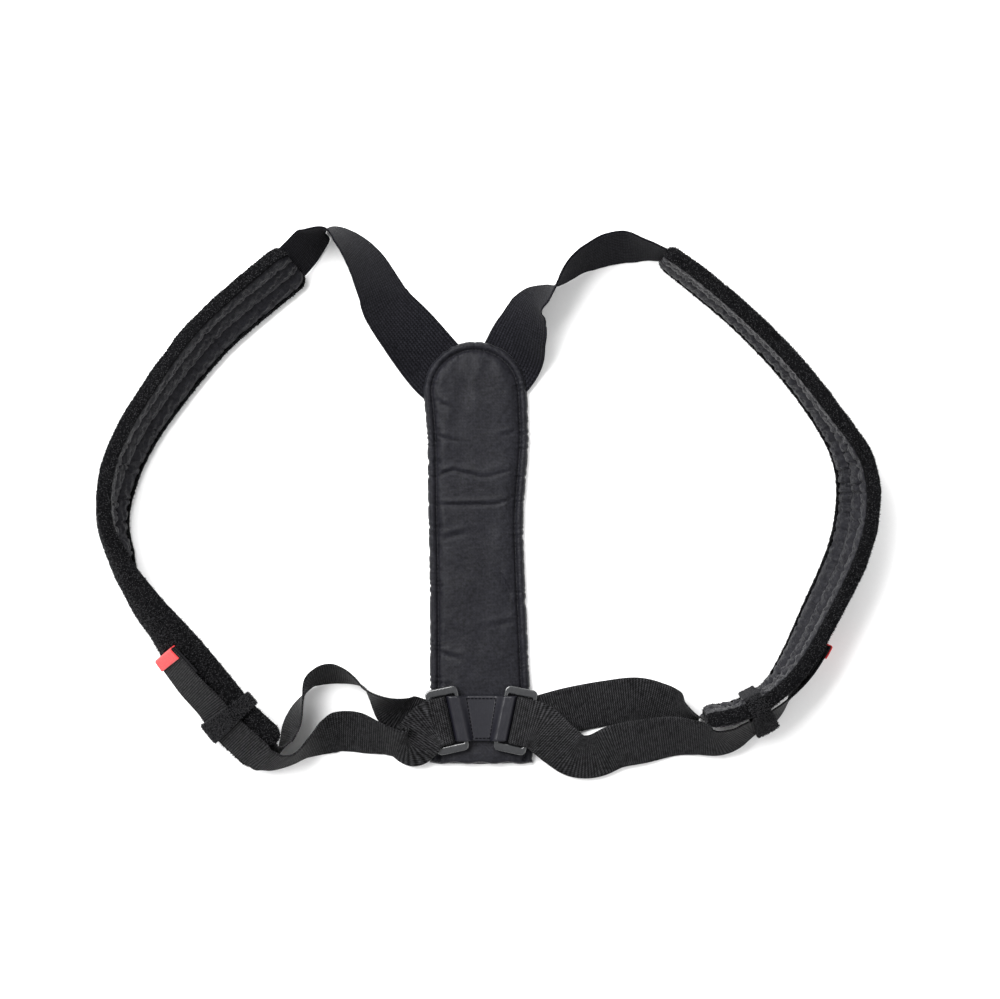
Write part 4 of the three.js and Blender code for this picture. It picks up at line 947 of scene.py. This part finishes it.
# the middle line that each edge point looks at
spine = np.column_stack([archCentre * smoothStep(edge[:, 1], 0, archFoot), np.clip(edge[:, 1], 0, archFoot)])
inward = spine - edge
reach = np.linalg.norm(inward, axis=1, keepdims=True)
inward /= reach
profile = np.array(edgeProfile)
along = np.concatenate([np.linspace(0, 11, 34, endpoint=False),
                        11 + np.linspace(0, 1, backLook["rows"] - 34) ** 1.1 * 4])
inset = np.interp(along, np.arange(16), profile[:, 0])
rise = closedSmooth(np.vstack([profile, profile[-1:]]), np.clip(along, 0, 15))[:, 1]
# the inset is in millimetres up to rim, and from there it spreads to the middle line
rim = 16
share = np.clip((inset - rim) / 24, 0, 1)[None]
distanceIn = np.minimum(np.minimum(inset[None], rim) + share * (reach - rim), reach)
flat = edge[:, None] + inward[:, None] * distanceIn[..., None]
# height = edge profile - puckers at the seam + swell and ripple + grain of the roll + creases, and then
# pressed under the band and rounded down at the hem
s = edgeAt[:, None]
puckerWave = 0.5 + 0.5 * np.cos(s / backLook["pucker"] * math.tau + 7.0 * noise(s, 0 * s, 45.0, 91))
puckerWave = puckerWave * 1.3 * np.clip(0.5 + 0.9 * noise(s, 0 * s, 30.0, 90), 0.08, 1)
nearSeam = np.exp(-((distanceIn - 7.0) / 3.2) ** 2)
height = rise[None] + 0 * s - backLook["puckerDeep"] * puckerWave * nearSeam
flat = flat + inward[:, None] * (0.8 * puckerWave * np.exp(-(distanceIn / 3.0) ** 2))[..., None]
panel = smoothStep(distanceIn, 8.0, 14.0)
x, y = flat[..., 0], flat[..., 1]
swell = backLook["swell"] * noise(x, y * 0.8, backLook["swellSize"], 92)
height = height + panel * (swell + backLook["ripple"] * noise(x, y * 1.4, backLook["rippleSize"], 93, 2))
roll = np.exp(-((distanceIn - 3.0) / 3.0) ** 2)
height = height + backLook["grain"] * noise(s, distanceIn, 9.0, 94) * roll
for x0, y0, x1, y1, wide, deep in backCreases:
    run = np.array([x1 - x0, y1 - y0], float)
    f = np.clip(((x - x0) * run[0] + (y - y0) * run[1]) / (run @ run), 0, 1)
    gapTo = np.hypot(x - x0 - f * run[0], y - y0 - f * run[1])
    beside = ((x - x0) * -run[1] + (y - y0) * run[0]) / np.linalg.norm(run)
    fade = np.sin(math.pi * np.clip(0.08 + 0.84 * f, 0, 1))
    # a crease: a dip on its line, and on one side a ridge 0.7 as high
    ridge = 0.7 * np.exp(-((beside - 1.7 * wide) / (1.3 * wide)) ** 2)
    ridge = ridge * np.exp(-(np.maximum(gapTo - 3 * wide, 0) / wide) ** 2)
    height = height + panel * backLook["crease"] * deep * fade * (ridge - np.exp(-(gapTo / wide) ** 2))
pressed = np.exp(-((y - band["rise"]) / 26) ** 4) * np.exp(-(x / 34) ** 4) * panel
height = height + (np.minimum(height, back["thick"] - 0.6) - height) * pressed
hem = np.sqrt(np.clip(1 - np.clip((backLook["hem"] - y) / backLook["hem"], 0, 1) ** 2, 0, 1))
wave = 0.5 + 0.5 * np.sin(x / backLook["wavePitch"] * math.tau + 1.1)
wave = backLook["wave"] * smoothStep(-y, -6, 0) * wave
low = backLook["low"]
height = np.clip(height * (0.12 + 0.88 * hem), low, back["thick"] + 0.6)
grid = np.stack([x, y + wave * 0.8, height], -1)
grid = np.concatenate([np.column_stack([spine, np.full(len(spine), low)])[:, None], grid], 1)
lowEnds = grid[[0, -1]].copy()
lowEnds[..., 2] = low
grid = np.concatenate([lowEnds[:1], grid, lowEnds[1:]])
backObj = addGrid("back_pad_look", intoRow(grid, "left"), satinPanel, "back_pad", wrapV=False)
grooveColumn = int(np.argmin(np.abs(along - 9.0))) + 1
grooveLine = intoRow(grid[4:-4, grooveColumn], "left") + np.array([0, 0, 0.12])
seam = stitchRow(grooveLine, np.tile(upright, (len(grooveLine), 1)), backLook["stitch"], (2.5, 0.5, 0.4))
addStitches("back_seam", [seam], thread)
print("back pad ready", flush=True)

# Rings: rounded rectangles whose bars are rounded too


ringLook = {"corner": 14, "bar": 20, "section": 24, "outerRadius": 4.5, "innerRadius": 1.2, "blunt": 0.55}


def roundedLoop(width, height, radius):
    # a rounded rectangle as a loop of points: each corner and the straight bar after it
    corners = []
    for cx, cy, start in [(1, 1, 0), (-1, 1, 90), (-1, -1, 180), (1, -1, 270)]:
        turn = np.radians(np.linspace(start, start + 90, ringLook["corner"]))
        corners.append(np.column_stack([cx * (width / 2 - radius) + radius * np.cos(turn),
                                        cy * (height / 2 - radius) + radius * np.sin(turn)]))
    f = np.linspace(0, 1, ringLook["bar"] + 2)[1:-1, None]
    bars = [a[-1] + (b[0] - a[-1]) * f for a, b in zip(corners, corners[1:] + corners[:1])]
    return np.vstack([rows for pair in zip(corners, bars) for rows in pair])


window = webbing["width"] + 2 * ring["play"]
innerLoop = roundedLoop(ring["window"], window, ringLook["innerRadius"])
outerLoop = roundedLoop(ring["window"] + 2 * ring["longBar"], window + 2 * ring["shortBar"],
                        ringLook["outerRadius"])
for side in sides:
    way = sides[side]["ring"]
    centre = way["outer"] + way["inward"] * ringPitch / 2
    turn = np.linspace(0, math.tau, ringLook["section"], endpoint=False)[None]
    half = (outerLoop - innerLoop)[:, None] / 2
    mid = (outerLoop + innerLoop)[:, None] / 2
    cx, cz = blunt(np.cos(turn), ringLook["blunt"]), blunt(np.sin(turn), ringLook["blunt"])
    flat = mid + half * cx[..., None]
    grid = centre + flat[..., :1] * way["inward"] + flat[..., 1:] * way["along"]
    grid[..., 2] = centre[2] + cz * ring["thick"] / 2
    addGrid("ring_" + side + "_look", intoRow(grid, side), ringPlastic, "ring_" + side,
            wrapU=True)
print("rings ready", flush=True)

# Ring band: one closed ribbon round both inner bars, stitched flat in the middle

bandLook = {"round": 260, "across": 26, "cockle": 0.12, "stitch": 3.0}
barAt = band["length"] / 2 - band["loop"]
loop = barRadius + band["thick"]
endAt = band["length"] / 2 - loop
midRadius = barRadius + band["thick"] / 2
flatTop = -loop + 1.5 * band["thick"] + 0.45
turn = np.radians(np.linspace(-90, 90, 24))
cap = np.column_stack([endAt + midRadius * np.cos(turn), midRadius * np.sin(turn)])
fall = np.linspace(0, 1, 18)[1:-1]
drop = 1.55 * loop + 1.2
slope = np.column_stack([barAt - drop * fall, midRadius + (flatTop - midRadius) * smoothStep(fall, 0, 1)])
half = np.vstack([cap, slope, [(barAt - drop, flatTop), (8.0, flatTop + 0.1), (4.0, flatTop)]])
bottom = np.column_stack([np.linspace(-endAt, endAt, 16)[1:-1], np.full(14, -midRadius)])
centreLine = np.vstack([half, (half * np.array([-1, 1]))[::-1], bottom])
closed = np.vstack([centreLine, centreLine[:1]])
length = lengthsOf(closed)
spots = np.linspace(0, length[-1], bandLook["round"], endpoint=False)
line = between(closed, length, spots)
ahead = unit(np.roll(line, -1, 0) - np.roll(line, 1, 0))
normal = np.column_stack([ahead[:, 1], -ahead[:, 0]])
loopX, loopY = strapLoop(band["width"], band["thick"], bandLook["across"])


def slanted(points):
    # the band's ends turned with the rings: x grows with y, most at the bars
    share = np.clip(points[..., 0] / (barAt - barRadius * 1.3), -1, 1)
    points[..., 0] += points[..., 1] * math.tan(math.radians(ring["turn"])) * share
    return points


cockle = bandLook["cockle"] * noise(spots[:, None], loopX[None], 15.0, 95) * (line[:, 1:] > 0)
grid = np.zeros((len(line), len(loopX), 3))
grid[..., 0] = line[:, :1] + normal[:, :1] * loopY
grid[..., 1] = loopX
grid[..., 2] = line[:, 1:] + normal[:, 1:] * loopY + cockle
bandCentre = np.array([band["shift"], band["rise"], strandLevel])
addGrid("ring_band_look", intoRow(slanted(grid) + bandCentre, "left"), bandCloth, "ring_band",
        wrapU=True)
# the stitched box in the middle
box = np.array([(-1, -1), (-1, 1), (1, 1), (1, -1), (-1, -1)]) * (9.2, 15.8)
rows = []
for a, b in zip(box[:-1], box[1:]):
    spot = a + (b - a) * np.linspace(0, 1, 20)[:, None]
    level = np.interp(np.abs(spot[:, 0]), half[::-1, 0], half[::-1, 1])
    top = slanted(np.column_stack([spot, level + band["thick"] / 2 + 0.2]))
    rows.append(stitchRow(intoRow(top + bandCentre, "left"), np.tile(upright, (20, 1)), bandLook["stitch"],
                          (2.4, 1.0, 0.7)))
addStitches("band_stitches", rows, bandThread)
print("band ready", flush=True)

# Keepers: pile loops drawn tight round the pad and the webbing

keeperLook = {"round": 150, "section": 26, "hairs": 4200, "uneven": 0.25}
for number, side in enumerate(sides):
    seed = 100 + 20 * number
    turn = np.linspace(0, math.tau, keeperLook["section"], endpoint=False)
    offsetAlong = blunt(np.cos(turn), 0.35) * keeper["length"] / 2
    offsetOut = blunt(np.sin(turn), 0.6) * keeper["thick"] / 2
    frames = padFrames(side, pad["length"] - keeper["setback"] + offsetAlong)
    lean = math.radians(float(layLean(side, keeper["setback"])))
    top = pad["facing"] + float(layHeight(keeper["setback"])) + webbing["thick"] / 2
    # what the keeper goes round: the facing's section, the lining's crests and the webbing's edges
    x, y = sectionOf(facingTemplate, frames["cup"], frames["width"], 1.0)
    crestX, crestY = bent(np.array([[-24.0, -12, 0, 12, 24.0]]), -(pad["lining"] + pad["channel"] / 2),
                          frames["cup"], frames["width"])
    edgeX = webbing["width"] / 2 * math.cos(lean)
    column = np.ones((len(x), 1))
    x = np.hstack([x, crestX, edgeX * column, -edgeX * column])
    y = np.hstack([y, crestY, top * column, (top + webbing["width"] * math.sin(lean)) * column])
    # the widest reach in each direction, pushed out by the clearance and the loop's own section
    ways = np.linspace(0, math.tau, 360, endpoint=False)
    best = (x[:, None] * np.cos(ways)[:, None] + y[:, None] * np.sin(ways)[:, None]).argmax(2)
    push = 4 * play["gap"] + keeper["thick"] / 2 + offsetOut[:, None]
    closed = [np.take_along_axis(x, best, 1) + np.cos(ways) * push,
              np.take_along_axis(y, best, 1) + np.sin(ways) * push]
    closed = [np.hstack([rows, rows[:, :1]]) for rows in closed]
    step = np.hypot(np.diff(closed[0]), np.diff(closed[1]))
    length = np.hstack([np.zeros((len(step), 1)), np.cumsum(step, 1)])
    f = np.linspace(0, 1, keeperLook["round"], endpoint=False)
    evenX, evenY = (np.array([np.interp(f * n[-1], n, q) for n, q in zip(length, rows)]) for rows in closed)
    grid = intoRow(onFrames(frames, evenX, evenY), side)
    uneven = keeperLook["uneven"] * noise(f[None] * 150, offsetAlong[:, None], 14.0, seed)
    grid += uneven[..., None] * unit(grid - grid.mean(1, keepdims=True))
    addGrid("keeper_" + side + "_look", grid, pile, "keeper_" + side, wrapU=True)
    wrapped = np.concatenate([grid, grid[:1]])
    wrapped = np.concatenate([wrapped, wrapped[:, :1]], 1)
    keep = np.broadcast_to((offsetOut > 0.2)[:, None], grid.shape[:2]).astype(float)
    if sides[side]["mirror"] < 0:
        wrapped, keep = wrapped[:, ::-1], keep[:, ::-1]
    addPile("keeper_pile_" + side, wrapped, keep, keeperLook["hairs"], seed + 3)
print("keepers ready", flush=True)

# Hook patches and pull tabs at the webbing's ends

hookLook = {"rows": 40, "round": 24, "rough": 0.12}
tabLook = {"round": 22, "bend": 1.6, "above": 0.5, "uneven": 0.06}
for side in sides:
    count = hookLook["rows"]
    setback = np.linspace(hook["reach"] - hook["length"], hook["reach"], count)
    spot, frames = overPad(side, setback, np.full(count, play["lay"] + hook["thick"] / 2))
    loopX, loopY = strapLoop(webbing["width"] - 2 * play["gap"], hook["thick"], hookLook["round"])
    rough = hookLook["rough"] * np.random.default_rng(7).normal(0, 1, (count, len(loopX)))
    grid = strapGrid({**frames, "point": spot}, loopX, loopY, rough)
    addGrid("hook_" + side + "_look", intoRow(grid, side), hookTape, "hook_patch_" + side)
    # the tab's middle line seen from the side: over the webbing, round its end, down to the hook tape
    middle, bend = tab["thick"] / 2, tabLook["bend"]
    high = float(layHeight(hook["reach"])) + webbing["thick"] / 2 + tabLook["above"]
    end = hook["reach"] + 2 * play["gap"] + middle
    over = np.column_stack([np.linspace(hook["reach"] - tab["length"], end - bend, 14),
                            np.full(14, high + middle)])
    turn = np.radians(np.linspace(90, 0, 8))
    corner = np.column_stack([end - bend + bend * np.cos(turn), high + middle - bend + bend * np.sin(turn)])
    down = np.column_stack([np.full(6, end), np.linspace(high - 1.8, play["lay"], 6)])
    line = np.vstack([over, corner[1:], down])
    ahead = unit(np.gradient(line, axis=0))
    normal = np.column_stack([-ahead[:, 1], ahead[:, 0]])
    loopX, loopY = strapLoop(webbing["width"] - 2 * play["gap"], tab["thick"], tabLook["round"])
    setbacks = line[:, :1] + normal[:, :1] * loopY
    heights = line[:, 1:] + normal[:, 1:] * loopY
    heights = heights + tabLook["uneven"] * noise(setbacks, loopX[None] + 0 * setbacks, 12.0, 130)
    point, frames = overPad(side, setbacks.ravel(), heights.ravel())
    grid = (point + frames["across"] * np.tile(loopX, len(line))[:, None]).reshape(*setbacks.shape, 3)
    addGrid("tab_" + side + "_look", intoRow(closedEnds(grid), side), tabCloth,
            "pull_tab_" + side)
print("hooks and tabs ready", flush=True)

# Floor, light and camera

# metres from here on: half the floor, how far it lies under the part, and the room's light
room = {"half": 12, "under": 0.0002, "light": 0.78}
# the photograph: metres per pixel, the drawing's zero and the middle of the picture in pixels
photo = {"pixel": 0.0008, "zeroX": 479, "zeroY": 764, "middleX": 500, "middleY": 499.5}
plane = bpy.data.meshes.new("floorMesh")
corners = [(x * room["half"], y * room["half"], 0) for x, y in ((-1, -1), (1, -1), (1, 1), (-1, 1))]
plane.from_pydata(corners, [], [(0, 1, 2, 3)])
floor = bpy.data.objects.new("floor", plane)
bpy.context.scene.collection.objects.link(floor)
floor.location.z = -room["under"]
plane.materials.append(floorPaint)

world = bpy.data.worlds.new("softRoom")
bpy.context.scene.world = world
world.use_nodes = True
world.node_tree.nodes["Background"].inputs[0].default_value = (1, 1, 1, 1)
world.node_tree.nodes["Background"].inputs[1].default_value = room["light"]

# name, place, size in metres and power in watts
lamps = [("key", (-1.3, 1.2, 2.3), 1.9, 190), ("fill", (1.6, -0.6, 2.2), 2.0, 16),
         ("rim", (0.2, 2.2, 1.3), 1.2, 18)]
for name, spot, size, power in lamps:
    data = bpy.data.lights.new(name, "AREA")
    data.size = size
    data.energy = power
    lamp = bpy.data.objects.new(name, data)
    bpy.context.scene.collection.objects.link(lamp)
    lamp.location = spot
    lamp.rotation_euler = (-lamp.location).to_track_quat("-Z", "Y").to_euler()

camData = bpy.data.cameras.new("camera")
camData.lens = 108
camData.sensor_width = 36
camera = bpy.data.objects.new("camera", camData)
bpy.context.scene.collection.objects.link(camera)
camera.location = ((photo["middleX"] - photo["zeroX"]) * photo["pixel"] + offset[0] / 1000,
                   (photo["zeroY"] - photo["middleY"]) * photo["pixel"] + offset[1] / 1000, 2.4)
camera.rotation_euler = (0, 0, 0)
bpy.context.scene.camera = camera
bpy.context.scene.view_settings.view_transform = "Standard"

print("scene ready", flush=True)
